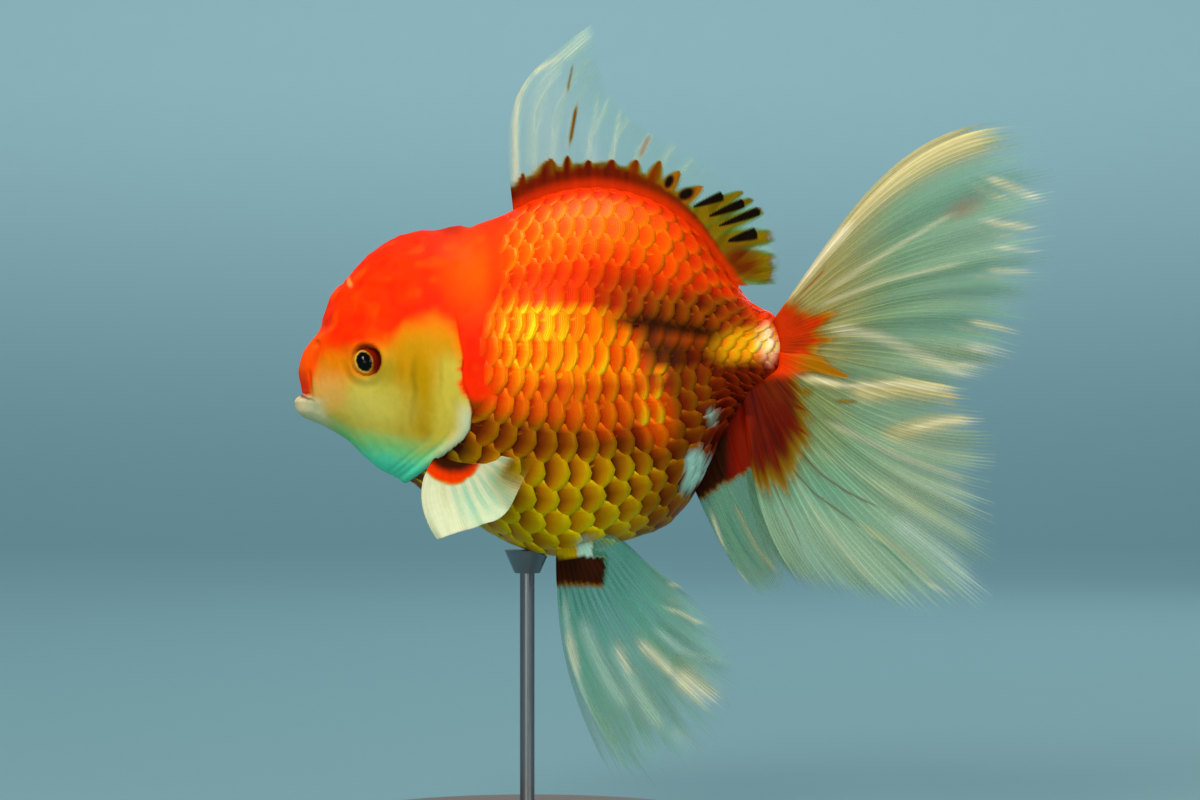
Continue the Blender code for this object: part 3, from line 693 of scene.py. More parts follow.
def latticePoint(rows, columns):
    # Rows count down from the lateral line, columns back from the gill cover. Rows share out the girth
    # evenly; columns fan out over the round belly and lean back a little towards the back.
    atLine = coat["firstX"] + coat["pitch"] * columns - 0.30 * np.maximum(columns - 16, 0) ** 1.15
    share = np.where(rows > 0, rows / coat["rowsBelow"], -rows / coat["rowsAbove"])
    fan = 0.66 * 15 * np.tanh((atLine - 6) / 15) * np.sin(np.pi * np.clip(share, 0, 1.2) / 1.35)
    lean = 0.16 * (atLine - 2) * share
    x = np.clip(atLine + np.where(rows > 0, fan * smooth(0.08, 0.62, share), lean), -30.0, 57.3)
    spacing = np.where(rows > 0, np.interp(x, rowX, arcBelow) / coat["rowsBelow"],
                       np.interp(x, rowX, arcAbove) / coat["rowsAbove"])
    reach = rows * np.maximum(spacing, coat["leastRow"])
    p = np.interp(x, rowX, rowPlaces)
    fp = np.clip((p - rowPlaces[0]) / (rowPlaces[1] - rowPlaces[0]), 0, len(rowPlaces) - 1.001)
    fs = np.clip((reach - arcReach[0]) / arcStep, 0, len(arcReach) - 1.001)
    i, j = fp.astype(int), fs.astype(int)
    a, b = fp - i, fs - j
    turn = (rowTurns[i, j] * (1 - a) * (1 - b) + rowTurns[i + 1, j] * a * (1 - b)
            + rowTurns[i, j + 1] * (1 - a) * b + rowTurns[i + 1, j + 1] * a * b)
    return p, turn, x


def scaleRoots():
    # Staggered centres: odd rows are half a column behind
    rows, columns = np.meshgrid(np.arange(-coat["rowsAbove"], coat["rowsBelow"] + 1), np.arange(-7, 27), indexing="ij")
    columns = columns + 0.5 * (rows % 2)
    rows, columns = rows.ravel().astype(float), columns.ravel().astype(float)
    p, turn, x = latticePoint(rows, columns)
    centre = bodyPoint(p, turn)
    z = centre[:, 2]
    e = centre[:, 0] - gillEdge(z)
    started = np.where(z > 97, x > -13.5, e > 0.2)
    keep = started & (x < coat["lastX"]) & (turn > -0.02) & (turn < np.pi + 0.02) & (e > 0.2)
    return rows[keep], columns[keep]


def makeScales(material):
    # Each scale is a small curved tile with a thickness: its height over the skin grows from root to free edge.
    # The tiles of a flank are joined in an upper and a lower piece.
    rows, columns = scaleRoots()
    n = coat["steps"]
    count = len(rows)
    # local grid of one scale: b across in rows, a along in columns; the free edge is half an ellipse
    across = np.sin(np.linspace(-1, 1, n) * np.pi / 2) * 0.992
    edge = np.sqrt(1 - across**2)
    along = np.linspace(0, 1, n) ** 0.85
    b = np.tile(across * coat["halfRows"], (n, 1))
    rootLine = -coat["rootReach"] * (0.35 + 0.65 * edge)
    a = rootLine[None, :] + along[:, None] * (coat["front"] * edge - rootLine)[None, :]
    exposed = np.clip(a - (coat["front"] * edge[None, :] - 1.0), 0, 1)
    acrossGrid, alongGrid = np.tile(across, (n, 1)), np.tile(along[:, None], (1, n))
    height = coat["rise"] * (a + coat["rootReach"]) / (coat["front"] + coat["rootReach"])
    height = height + coat["dome"] * np.sin(np.pi * exposed) - 0.10 * smooth(0.86, 1.0, alongGrid)
    height = height - 0.06 * np.abs(acrossGrid) ** 4
    rim = np.concatenate([np.arange(n), np.arange(1, n) * n + n - 1, (n - 1) * n + np.arange(n - 2, -1, -1),
                          np.arange(n - 2, 0, -1) * n])
    under = n * n + np.arange(len(rim))
    tile = [gridQuads(n, n), np.stack([rim, np.roll(rim, -1), np.roll(under, -1), under], -1), under[None, :]]
    # patches on the unwrap of the skin: three small ones for each scale, root, middle and rim
    turn, x = latticePoint(rows, columns)[1:]
    centreUv = np.stack([0.03 + 0.94 * (x + 30.0) / 90.0, 0.03 + 0.94 * np.clip(turn, 0, np.pi) / np.pi], -1)
    tileUv = np.stack([alongGrid.ravel(), (acrossGrid.ravel() + 1) / 2], -1)
    tileUv = np.concatenate([tileUv, tileUv[rim]])

    def perPoint(values):  # one number for each scale, repeated for the points of its top
        return np.repeat(values, n * n)

    def withRim(values, rimValues):  # one row for each scale: the values of its top, then those of the rim under it
        values, rimValues = (v.reshape(count, n * n, -1) for v in (values, rimValues))
        return np.concatenate([values, rimValues[:, rim]], axis=1)

    def patchUv(faces, centres):  # root, middle and rim of a tile, each spread over its own small patch
        band = np.clip((tileUv[faces][..., 0].mean(axis=1) * 3).astype(int), 0, 2)
        inside = tileUv[faces].copy()
        inside[..., 0] = np.clip((inside[..., 0] - (band / 3.0)[:, None]) * 3, 0, 1)
        inside = (inside - 0.5) * coat["patch"]
        inside[..., 0] += ((band - 1) * coat["patchStep"])[:, None]
        return (centres[:, None, None, :] + inside[None]).reshape(-1, 2)

    for side, sideName in ((-1, "left"), (1, "right")):
        random = np.random.default_rng(coat["seeds"][sideName])
        jitterA, jitterB, lift, sizeError = (random.normal(0, width, count)[:, None, None] for width in coat["jitter"])
        tone = random.normal(0, 1, count)
        size = 1 + sizeError
        tilt = (coat["tilt"] * fall(3.0, 6.5, rows) * smooth(-6.0, -2.0, rows))[:, None, None]
        p, turn = latticePoint(rows[:, None, None] + b[None] * size + jitterB,
                               columns[:, None, None] + a[None] * size + jitterA - tilt * b[None])[:2]
        ground = bodyPoint(p, turn)
        z = ground[..., 2]
        slim = np.clip((57 - ground[..., 0]) / 12, 0.55, 1.0)
        soft = 1 - coat["flatBack"] * smooth(110, 122, z) - coat["flatFlank"] * window(z, 96, 110, 3.0)
        buried = coat["buried"] * (1 - shoulderFade(ground)) * smooth(95, 99, z)
        h = (height[None] + lift * (0.3 + along[None, :, None])) * slim * soft - buried
        out = (h - skin["coatDepth"] + coat["proud"])[..., None]
        normal = bodyNormal(p, turn)
        top, below = ground + normal * out, ground + normal * (out - coat["thickness"])
        mirrored = np.array([1, side, 1])
        points = withRim(top, below) * mirrored
        # colours: root to middle to rim, lighter at the rim partly as painted highlight, each scale a little different,
        # with a painted glint on the shiny ones
        flat = ground.reshape(-1, 3) * mirrored
        root, mid, rimColour, metal = trunkMarkings(flat)
        share, lowerBias = np.tile(exposed.ravel(), count), np.tile(acrossGrid.ravel(), count)
        shiny = smooth(0.22, 0.34, metal)
        # painted highlight: a glint near the lower rear of the shiny scales
        paintedGlint = bell(share, 0.76, 0.30) * bell(lowerBias, 0.36, 0.42) * shiny
        paintedGlint = paintedGlint * perPoint(smooth(0.30, 0.90, random.random(count)))
        colour = blendAll(root, (
            (mid, smooth(0.08, 0.52, share)), (rimColour, smooth(0.50, 0.98, share + 0.06 * lowerBias)),
            (palette["goldLight"], paintedGlint),
            (palette["backRed"], 0.5 * shiny * perPoint(smooth(0.55, 1.0, random.random(count))))))
        colour = np.clip(colour * (1 + coat["tone"] * perPoint(tone))[:, None], 0, 1)
        # painted shade: the walls under each scale's rim are darker than its top, less so high on the back
        shade = (0.6 + 0.4 * smooth(108, 118, flat[:, 2]))[:, None]
        colours = withRim(colour, colour * shade)
        layers = {name: withRim(v, v) for name, v in (("metal", metal), ("along", share), ("across", lowerBias))}
        faces = [block if side > 0 else block[:, ::-1] for block in tile]
        for chosen, halfName in ((rows <= 1.5, "upper"), (rows > 1.5, "lower")):
            offsets = (np.arange(chosen.sum()) * points.shape[1])[:, None, None]
            uv = np.vstack([patchUv(block, centreUv[chosen]) for block in faces])
            obj = newMesh(f"scales_{sideName}_{halfName}", points[chosen].reshape(-1, 3),
                          [(block[None] + offsets).reshape(-1, block.shape[1]) for block in faces], material, uv)
            putColour(obj, colours[chosen].reshape(-1, 3))
            putValues(obj, **{name: values[chosen].ravel() for name, values in layers.items()})
            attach(obj, "root")
            print(obj.name, chosen.sum(), "scales")


def makeScaleMaterial():
    # Wet metallic scale: fine radial streaks and growth rings from its own along and across values
    material, tree, shader, grain = markedMaterial(
        "wetScale", {"Size": 900.0, "Amount": 0.12, "Rough": 0.38, "RoughVary": 0.10},
        coat=0.015, coatRoughness=0.16, roughness=0.48, specular=0.03)
    tree.links.new(stored(tree, "metal")["Fac"], shader.inputs["Metallic"])
    streak = addMath(tree, "SINE", addMath(tree, "MULTIPLY", stored(tree, "across")["Fac"], 34.0))
    ring = addMath(tree, "SINE", addMath(tree, "MULTIPLY", stored(tree, "along")["Fac"], 44.0))
    finishWith(tree, shader, grain, 0.12, 0.00008, addMath(tree, "MULTIPLY_ADD", streak, 0.6, ring))
    return material


makeScales(makeScaleMaterial())
print("scales done")


eyeLook = {"rings": 44, "segments": 64, "yaw": 6, "pitch": 1, "bulge": 0.045, "pupilLong": 0.50, "pupilTall": 0.62,
           # the darkest iris colour is painted shade of the socket
           "iris": paint(140, 26, 2), "irisLight": paint(206, 120, 10), "irisSocketShade": paint(112, 24, 2),
           "ring": paint(214, 178, 62), "ringDark": paint(160, 112, 16), "pupil": paint(2, 2, 2)}


def eyeUv(faces, place, firstPole):
    # Corners on an unwrap: those past the seam go to its right edge, a pole goes midway between its neighbours
    uv = []
    for corners in faces:
        u, v = np.moveaxis(place[corners], -1, 0)
        wraps = (u.max(axis=1) - u.min(axis=1)) > 0.6
        u = np.where(wraps[:, None] & (u < 0.1), 0.97, u)
        pole = corners >= firstPole
        centre = np.where(pole, 0, u).sum(axis=1) / np.maximum((~pole).sum(axis=1), 1)
        uv.append(np.stack([np.where(pole, centre[:, None], u), v], -1).reshape(-1, 2))
    return np.vstack(uv)


def makeEyes():
    # A ball with a flat-faced lens bulge: black pupil a little taller than long, a thin pale ring, then dark iris
    look, radius, segments = eyeLook, eye["radius"], eyeLook["segments"]
    material, tree, shader, grain = markedMaterial(
        "eyeGloss", {"Size": 1600.0, "Amount": 0.16, "Rough": 0.14, "RoughVary": 0.05},
        coat=0.22, coatRoughness=0.03, roughness=0.3, specular=0.05)
    finishWith(tree, shader, grain, 0.04, 0.00005)
    polar = np.linspace(0, np.pi, look["rings"] + 1)[1:-1]
    t, f = np.meshgrid(polar, np.linspace(0, 2 * np.pi, segments, endpoint=False), indexing="ij")
    # u runs back along the fish, w upwards, v out of the flank; the last two points are the poles
    u, w, v = np.sin(t) * np.cos(f), np.sin(t) * np.sin(f), np.cos(t)
    lens = np.hypot((u + 0.18 * w) / look["pupilLong"], (w - 0.05 * u) / look["pupilTall"])
    bulge = 1 + look["bulge"] * fall(0.0, 1.15, lens) * (v > 0) + 0.012 * bell(lens, 1.12, 0.10) * (v > 0)
    ball = (np.stack([u, v, w], -1) * bulge[..., None] * radius).reshape(-1, 3)
    ball = np.vstack([ball, [[0, radius * (1 + look["bulge"]), 0], [0, -radius, 0]]])
    lens, u, w = (np.concatenate([values.ravel(), ends]) for values, ends in ((lens, (0, 9)), (u, (0, 0)), (w, (0, 0))))
    # the eye looks outward and slightly forward and up
    yaw, pitch = math.radians(look["yaw"]), math.radians(look["pitch"])
    x, y, z = ball.T
    x, y = x * math.cos(yaw) - y * math.sin(yaw), x * math.sin(yaw) + y * math.cos(yaw)
    y, z = y * math.cos(pitch) - z * math.sin(pitch), y * math.sin(pitch) + z * math.cos(pitch)
    upper = 0.75 * u + 0.66 * w
    ring = blend(spread(look["ring"], len(lens)), look["ringDark"], smooth(-0.1, 0.5, u + 0.3 * w))
    shown = blendAll(spread(look["iris"], len(lens)), (
        (look["irisLight"], fall(-0.30, 0.25, upper)),
        # painted shade of the socket: the outer iris darker on its upper rear side
        (look["irisSocketShade"], smooth(1.50, 1.75, lens) * smooth(-0.4, 0.2, upper)),
        (ring, window(lens, 0.97, 1.13, 0.04)), (look["pupil"], fall(0.94, 0.99, lens))))
    # each corner's place on the unwrap: turn across, polar angle upwards
    place = np.stack([0.02 + 0.95 * f / (2 * np.pi), 0.02 + 0.96 * t / np.pi], -1).reshape(-1, 2)
    place = np.vstack([place, [[0.5, 0.01], [0.5, 0.99]]])
    for side, sideName in ((-1, "left"), (1, "right")):
        faces = [corners if side < 0 else corners[:, ::-1] for corners in ringFaces(len(polar), segments)]
        points = np.stack([eye["x"] + x, side * (eye["y"] + y), eye["z"] + z], -1)
        obj = newMesh(f"eyeball_{sideName}", points, faces, material, eyeUv(faces, place, f.size))
        putColour(obj, shown)
        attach(obj, "root")
        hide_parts(f"eye_{sideName}")
    print("eyes")


makeEyes()


# rays of each fin: root x, root z, tip x, tip z, angle at the root, angle at the tip, y at the root, y at the tip
finRays = {
    "dorsal": ((-2.9, 138.0, 15.6, 181.8, 97, 34, 0, 0.6), (4.6, 141.0, 16.6, 176.4, 96, 46, 0, -0.8),
               (12.7, 142.5, 18.0, 168.4, 90, 58, 0, 0.6), (20.4, 142.0, 24.0, 160.2, 82, 52, 0, -0.4),
               (27.6, 139.5, 33.0, 155.0, 70, 46, 0, 0.6), (34.4, 134.6, 44.0, 147.0, 52, 32, 0, -0.6),
               (39.8, 128.8, 52.4, 140.0, 42, 26, 0, 0.4), (43.0, 124.6, 56.6, 128.6, 20, 0, 0, -0.4),
               (46.6, 120.6, 55.6, 121.4, 6, -12, 0, 0)),
    "pectoral": ((-19.2, 86.0, -18.2, 68.4, -130, -52, 16.5, 31.0), (-17.2, 85.4, -14.4, 69.8, -112, -68, 17.0, 32.5),
                 (-15.0, 85.2, -8.8, 71.6, -84, -56, 17.6, 32.5), (-12.8, 85.2, -3.9, 73.9, -56, -38, 18.2, 32.0),
                 (-10.9, 85.6, -0.6, 80.0, -30, -12, 18.8, 30.5), (-9.4, 86.6, 2.6, 86.2, 0, 20, 19.4, 28.8)),
    "pelvic": ((6.6, 69.5, 26.7, 12.4, -93, -50, 7.4, 22.0), (8.6, 69.5, 35.1, 18.4, -85, -52, 8.0, 25.0),
               (10.6, 69.6, 41.9, 24.3, -75, -46, 8.6, 27.0), (12.4, 69.8, 45.6, 33.5, -62, -34, 9.0, 28.0),
               (14.2, 70.2, 46.1, 44.0, -48, -20, 9.4, 27.0), (15.6, 71.0, 36.0, 56.6, -34, -28, 9.4, 21.0)),
    "anal": ((36.2, 79.8, 50.1, 55.2, -66, -52, 2.6, 9.0), (37.4, 85.4, 53.9, 54.2, -72, -56, 2.8, 10.6),
             (39.2, 91.2, 56.3, 55.2, -76, -60, 3.0, 11.4), (41.4, 96.8, 58.0, 57.3, -80, -62, 3.2, 11.6),
             (47.6, 99.6, 63.0, 57.6, -86, -62, 3.4, 11.8)),
    "upper": ((54.0, 115.4, 111.3, 157.4, 54, -4, 2.2, 11.0), (54.6, 114.2, 115.9, 145.3, 46, 10, 2.4, 16.0),
              (55.0, 113.0, 115.4, 131.2, 32, 8, 2.6, 20.0), (55.3, 111.7, 112.0, 117.2, 18, -14, 2.6, 22.0),
              (55.6, 110.4, 105.6, 106.1, 6, -16, 2.6, 22.0), (55.6, 108.2, 95.6, 99.4, -18, -6, 2.6, 20.0)),
    "lower": ((55.6, 109.0, 95.2, 100.4, -9, -8, 2.6, 24.0), (55.4, 105.8, 101.1, 89.5, -36, 2, 2.8, 28.0),
              (54.8, 104.4, 100.7, 76.9, -44, -16, 3.0, 31.0), (53.6, 103.4, 101.3, 65.2, -52, -30, 3.2, 33.0),
              (51.8, 102.2, 97.8, 52.7, -60, -42, 3.4, 34.0), (49.6, 101.0, 76.6, 53.0, -72, -42, 3.6, 31.0),
              (47.0, 100.0, 60.4, 56.6, -84, -50, 3.6, 24.0)),
}


forks = {"soft": (0.22, 0.20), "shift": (0.25, 0.125), "thin": 1.6}  # of the first and second fork of each ray


def fanPoints(kind, side, across, along):
    # The solids' own fan: each ray a cubic curve from root to tip, pleats = sine across growing with length squared
    fin = fins[kind]
    rows = np.array(finRays[kind], float)
    rows = np.vstack([2 * rows[0] - rows[1], rows, 2 * rows[-1] - rows[-2]])
    values = np.moveaxis(smoothRows(rows, across * (len(finRays[kind]) - 1)), -1, 0)
    rootX, rootZ, tipX, tipZ, rootAngle, tipAngle, rootY, tipY = values
    handle = fin["fullness"] * np.hypot(tipX - rootX, tipZ - rootZ)
    ra, ta = np.radians(rootAngle), np.radians(tipAngle)
    s = 1 - along
    w = (s**3, 3 * s * s * along, 3 * s * along**2, along**3)
    x = w[0] * rootX + w[1] * (rootX + handle * np.cos(ra)) + w[2] * (tipX - handle * np.cos(ta)) + w[3] * tipX
    z = w[0] * rootZ + w[1] * (rootZ + handle * np.sin(ra)) + w[2] * (tipZ - handle * np.sin(ta)) + w[3] * tipZ
    swing = np.radians(fin["farSwing"] if side > 0 else 0) * along
    dx, dz = x - rootX, z - rootZ
    x = rootX + dx * np.cos(swing) - dz * np.sin(swing)
    z = rootZ + dx * np.sin(swing) + dz * np.cos(swing)
    y = rootY + (tipY - rootY) * along + fin["depth"] * np.sin(2 * np.pi * fin["pleats"] * across) * along**2
    return np.stack([x, side * y, z], -1)


def rayLines(phase, along, first, second, width):
    # 1 on a ray, 0 between rays; each ray forks in two, then each branch forks again
    one, two = (smooth(start, start + soft, along) for start, soft in zip((first, second), forks["soft"]))
    fold = np.abs(np.abs(phase - np.floor(phase) - 0.5) - forks["shift"][0] * one)
    fold = np.abs(fold - forks["shift"][1] * two)
    return np.exp(-((fold / (width / (1 + one + forks["thin"] * two))) ** 2))


def pathWeight(x, z, path, width, soft):
    # 1 on a broken line through these x, z places, 0 away from it; both ends thin out over up to 5
    best, place, run = np.full(x.shape, 1e9), np.zeros(x.shape), 0.0
    for (ax, az), (bx, bz) in zip(path[:-1], path[1:]):
        dx, dz = bx - ax, bz - az
        step = math.hypot(dx, dz)
        t = np.clip(((x - ax) * dx + (z - az) * dz) / step**2, 0, 1)
        away = np.hypot(x - ax - t * dx, z - az - t * dz)
        place = np.where(away < best, run + t * step, place)
        best = np.minimum(best, away)
        run += step
    taper = min(0.3 * run, 5.0)
    ends = smooth(-0.1, taper, place) * smooth(-0.1, taper, run - place)
    return fall(width * (1 - soft), width * (1 + soft), best / (0.35 + 0.65 * ends)) * ends


def wedge(x, z, baseX, baseZ, tipX, tipZ, half):
    # 0 along the middle of a pointed tooth, 1 on its edge, more outside: distance / (half width * what is left ** 0.55)
    dx, dz = tipX - baseX, tipZ - baseZ
    length = math.hypot(dx, dz)
    t = ((x - baseX) * dx + (z - baseZ) * dz) / length**2
    away = np.abs((x - baseX) * dz - (z - baseZ) * dx) / length
    inside = away / (half * np.clip(1 - t, 0.0, 1.0) ** 0.55 + 0.02)
    return inside + 3 * smooth(0.98, 1.06, t) + 3 * smooth(0.10, 0.25, -t)


def streaks(colour, alpha, x, z, rows):
    # Lays soft lines over a fin, each with a path, a half width, a shade and a strength
    for path, width, shade, share in rows:
        line = pathWeight(x, z, path, width, 0.85) * share
        colour = blend(colour, finPalette[shade], line)
        alpha = np.maximum(alpha, line)
    return colour, alpha


def tongues(colour, alpha, x, z, shade, fringe, rows):
    # Lays pointed teeth of one shade, each with a softer fringe of another
    teeth = [wedge(x, z, *row) for row in rows]
    for tooth in teeth:
        colour = blend(colour, finPalette[fringe], fall(0.80, 1.55, tooth))
        alpha = np.maximum(alpha, solid * fall(0.75, 1.60, tooth))
    for tooth in teeth:
        colour = blend(colour, finPalette[shade], fall(0.45, 0.95, tooth))
    return colour, alpha


def fibres(across, along, acrossScale, alongScale):  # places for noise that runs along the rays
    return np.stack([across * acrossScale, along * alongScale, 0 * across], -1)


def veil(across, along, seed, bands):  # painted light on the web's folds: slow bands along the rays where the web is drawn brighter and more solid, 0 to 1
    place = np.stack([across * bands + 0.8 * along, along * 1.2, 0 * across], -1)
    return np.clip(noise(place, 1.0, seed) * 1.6 - 0.3, 0, 1)


def makeRayGroup():
    # The same forked rays as a shader: out comes 1 on a ray's line, 0 between
    group, source, target = newGroup(
        "finRays",
        [("Phase", "NodeSocketFloat", 0.0), ("Along", "NodeSocketFloat", 0.0), ("First", "NodeSocketFloat", 0.2),
         ("Second", "NodeSocketFloat", 0.5), ("Width", "NodeSocketFloat", 0.14), ("Reach", "NodeSocketFloat", 0.0)],
        [("Line", "NodeSocketFloat"), ("Web", "NodeSocketFloat"), ("Tip", "NodeSocketFloat")])
    link = group.links.new

    def stepAfter(edge, soft):  # an S-shaped step that begins at this value of Along
        node = addNode(group, "ShaderNodeMapRange", interpolation_type="SMOOTHSTEP")
        link(source["Along"], node.inputs["Value"])
        link(source[edge], node.inputs["From Min"])
        link(addMath(group, "ADD", source[edge], soft), node.inputs["From Max"])
        return node.outputs["Result"]

    def times(a, b):  # one value times another
        return addMath(group, "MULTIPLY", a, b)

    def distance(a, b):  # how far apart two values are
        return addMath(group, "ABSOLUTE", addMath(group, "SUBTRACT", a, b))

    one, two = stepAfter("First", forks["soft"][0]), stepAfter("Second", forks["soft"][1])
    fold = distance(addMath(group, "FRACT", source["Phase"]), 0.5)
    fold = distance(fold, times(one, forks["shift"][0]))
    fold = distance(fold, times(two, forks["shift"][1]))
    thin = addMath(group, "ADD", addMath(group, "MULTIPLY_ADD", two, forks["thin"], 1.0), one)
    ratio = addMath(group, "DIVIDE", times(fold, thin), source["Width"])
    line = addMath(group, "EXPONENT", times(addMath(group, "POWER", ratio, 2.0), -1.0))
    # long fine fibres: noise drawn out along the rays. They vary each ray, the web, and where the tips end
    place = addNode(group, "ShaderNodeCombineXYZ")
    link(times(source["Phase"], 2.6), place.inputs["X"])
    link(times(source["Along"], 1.6), place.inputs["Y"])
    fibre = addNode(group, "ShaderNodeTexNoise", Scale=1.0, Detail=3.0, Roughness=0.6)
    link(place.outputs[0], fibre.inputs["Vector"])
    fac = fibre.outputs["Fac"]
    link(times(line, addMath(group, "MULTIPLY_ADD", fac, 2.6, -0.55)), target["Line"])
    link(addMath(group, "MULTIPLY_ADD", fac, 1.1, 0.20), target["Web"])
    tip = addNode(group, "ShaderNodeMapRange", interpolation_type="SMOOTHSTEP",
                  **{"From Min": 0.54, "From Max": 0.80, "To Min": 1.0, "To Max": 0.0})
    ending = addMath(group, "MULTIPLY_ADD", fac, -0.50, source["Along"])
    link(addMath(group, "SUBTRACT", ending, source["Reach"]), tip.inputs["Value"])
    link(tip.outputs["Result"], target["Tip"])
    return group


finRayGroup = makeRayGroup()


def makeFinMaterial(name, first, second, rayLight, rayAlpha, reach):
    # Rays lighter and more solid than the clear web between them; colour and clearness come with each point
    material, tree, shader = newMaterial(name, coat=0.0, coatRoughness=0.25, roughness=0.62, specular=0.02)
    link = tree.links.new
    colour = stored(tree, "marking")
    rays = useGroup(tree, finRayGroup, First=first, Second=second, Width=0.13, Reach=reach)
    link(stored(tree, "rayPhase")["Fac"], rays.inputs["Phase"])
    link(stored(tree, "along")["Fac"], rays.inputs["Along"])
    line, web, tip = rays.outputs
    grain = useGroup(tree, fineMottle, Size=800.0, Amount=0.10, Rough=0.45, RoughVary=0.10)
    light = addMath(tree, "MULTIPLY_ADD", line, rayLight, 0.90)
    link(addShade(tree, colour["Color"], light), grain.inputs["Colour"])
    faded = addMath(tree, "MULTIPLY", colour["Alpha"], addMath(tree, "MULTIPLY_ADD", line, rayAlpha, web))
    link(addMath(tree, "MULTIPLY", faded, tip, clamp=True), shader.inputs["Alpha"])
    finishWith(tree, shader, grain, 0.25, 0.00012, line)
    return material


# how far rays wander from straight; how fast the sheet thins to its rim across and along; half the least thickness
sheet = {"wander": 0.16, "rimAcross": 26, "rimAlong": 14, "thinnest": 0.02, "rayWidth": 0.17, "notchWidth": 0.3}


def makeFin(kind, side, sideName=""):
    # A closed sheet: front and back face with forked ridges for the rays, thick at the root, ragged at the tips
    fin = fins[kind]
    nu, nv = fin["grid"]
    across, along = np.meshgrid(np.linspace(0, 1, nu), np.linspace(0, 1, nv) ** 0.92, indexing="ij")
    rays, pleats, forkStarts = fin["rays"], fin["pleats"], (fin["first"], fin["second"])
    seed = fin["seed"] + (50 if side > 0 else 0)
    # rays wander a little; tips end unevenly
    wander = sheet["wander"] * mottle(fibres(across * rays, along, 0.8, 2.2), 1.0, seed)
    phase = across * rays + wander * along
    tipNoise = noise(fibres(across * rays, along, 0.9, 0), 1.0, seed + 2)
    tipFine = noise(fibres(across * rays, along, 4.2, 0), 1.0, seed + 3)
    notch = 1 - rayLines(phase, np.ones_like(along), *forkStarts, sheet["notchWidth"])
    length = 1 - fin["ragged"] * (0.55 * tipNoise + 0.25 * tipFine + 0.20 * notch)
    middle = fanPoints(kind, side, across, along * (1 - (1 - length) * smooth(0.45, 1.0, along)))
    ripple = fin["ripple"] * np.sin(2 * np.pi * (pleats * 2.6 * across + 0.35 * along + 0.13 * seed)) * along**1.5
    ripple += fin["ripple"] * 0.8 * mottle(fibres(across, along, 5, 3), 1.0, seed + 9) * along
    middle[..., 1] += side * ripple
    normal = np.cross(np.gradient(middle, axis=1), np.gradient(middle, axis=0))
    normal /= np.maximum(np.linalg.norm(normal, axis=-1, keepdims=True), 1e-9)
    normal *= side
    # half thickness: thin web, ridges on the rays, a fleshy root, all thinning towards the rim
    lines = rayLines(phase, along, *forkStarts, sheet["rayWidth"])
    root = fall(0.0, fin["fleshy"], along)
    rim = np.minimum(np.minimum(across, 1 - across) * sheet["rimAcross"], 1)
    rim = rim * np.minimum((1 - along) * sheet["rimAlong"], 1)
    web = fin["web"]
    half = web + (0.5 * fin["rootThick"] - web) * root**1.3
    half = half + lines * fin["ridge"] * (1 - 0.65 * along) * (1 - 0.95 * root)
    half = sheet["thinnest"] + (half - sheet["thinnest"]) * np.clip(rim, 0, 1) ** 0.6
    front = (middle + normal * half[..., None]).reshape(-1, 3)
    back = (middle - normal * half[..., None]).reshape(-1, 3)
    total = nu * nv
    quads = gridQuads(nu, nv)[:, [0, 3, 2, 1]]
    g = np.arange(total).reshape(nu, nv)
    ring = np.concatenate([g[0, :], g[1:, -1], g[-1, -2::-1], g[-2:0:-1, 0]])
    nextRing = np.roll(ring, -1)
    faces = np.vstack([quads, quads[:, ::-1] + total, np.stack([nextRing, ring, ring + total, nextRing + total], -1)])
    # front in the left half of the unwrap, back in the right half, the rim's wall as a narrow strip along its edge
    fu, fv, lines = across.ravel(), along.ravel(), lines.ravel()
    place = np.vstack([np.stack([left + 0.47 * fu, 0.01 + 0.97 * fv], -1) for left in (0.01, 0.52)])
    uv = place[faces]
    strip = np.array([[0, 0], [0, 0], [0.004, 0.002], [0.004, 0.002]])
    uv[-len(ring):] = place[np.stack([nextRing, ring, ring, nextRing], -1)] + strip
    if side < 0:
        faces, uv = faces[:, ::-1], uv[:, ::-1]
    colour, alpha = fin["look"](middle.reshape(-1, 3), fu, fv, lines, seed)
    combed, start = fin["combed"], fin["feather"]
    uneven = combed * 0.10 * (0.5 - lines) * smooth(0.7, 1, fv)
    feather = fall(start, max(1.0, start + 0.05), fv + uneven)
    alpha = np.minimum(alpha, 3.0 - 1.4 * combed * smooth(0.6, 0.9, fv))
    alpha = alpha * (0.06 * combed + (1 - 0.06 * combed) * feather)
    obj = newMesh(fin["piece"] + sideName, np.vstack([front, back]), faces, finMaterials[fin["material"]],
                  uv.reshape(-1, 2))
    putColour(obj, np.tile(np.clip(colour, 0, 1), (2, 1)), np.tile(alpha, 2))
    putValues(obj, rayPhase=np.tile(phase.ravel(), 2), along=np.tile(fv, 2))
    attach(obj, "root")
    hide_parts(fin["node"].format(sideName))
    print(obj.name, len(obj.data.polygons))


solid = 2.6  # how solid a fully painted place is: over 1, so that the web between its rays closes too

finPalette = {name: paint(*values) for name, values in {
    "cream": (204, 194, 138), "ivory": (230, 222, 184), "sage": (122, 164, 126),
    "teal": (88, 164, 140), "darkTeal": (40, 120, 104), "oliveCream": (160, 148, 74),
    "clear": (126, 178, 160), "pale": (182, 208, 194), "ochre": (176, 112, 0),
    "amber": (160, 92, 0),
    "orangeRed": (228, 52, 0), "redBrown": (104, 22, 0), "maroon": (104, 12, 0),
    "ember": (132, 24, 0), "burnt": (122, 40, 0), "black": (18, 8, 2), "umber": (52, 18, 2),
    "olive": (128, 104, 4), "moss": (96, 120, 30), "rust": (170, 84, 14),
    "leafBrown": (120, 76, 0), "vein": (96, 62, 40),
}.items()}


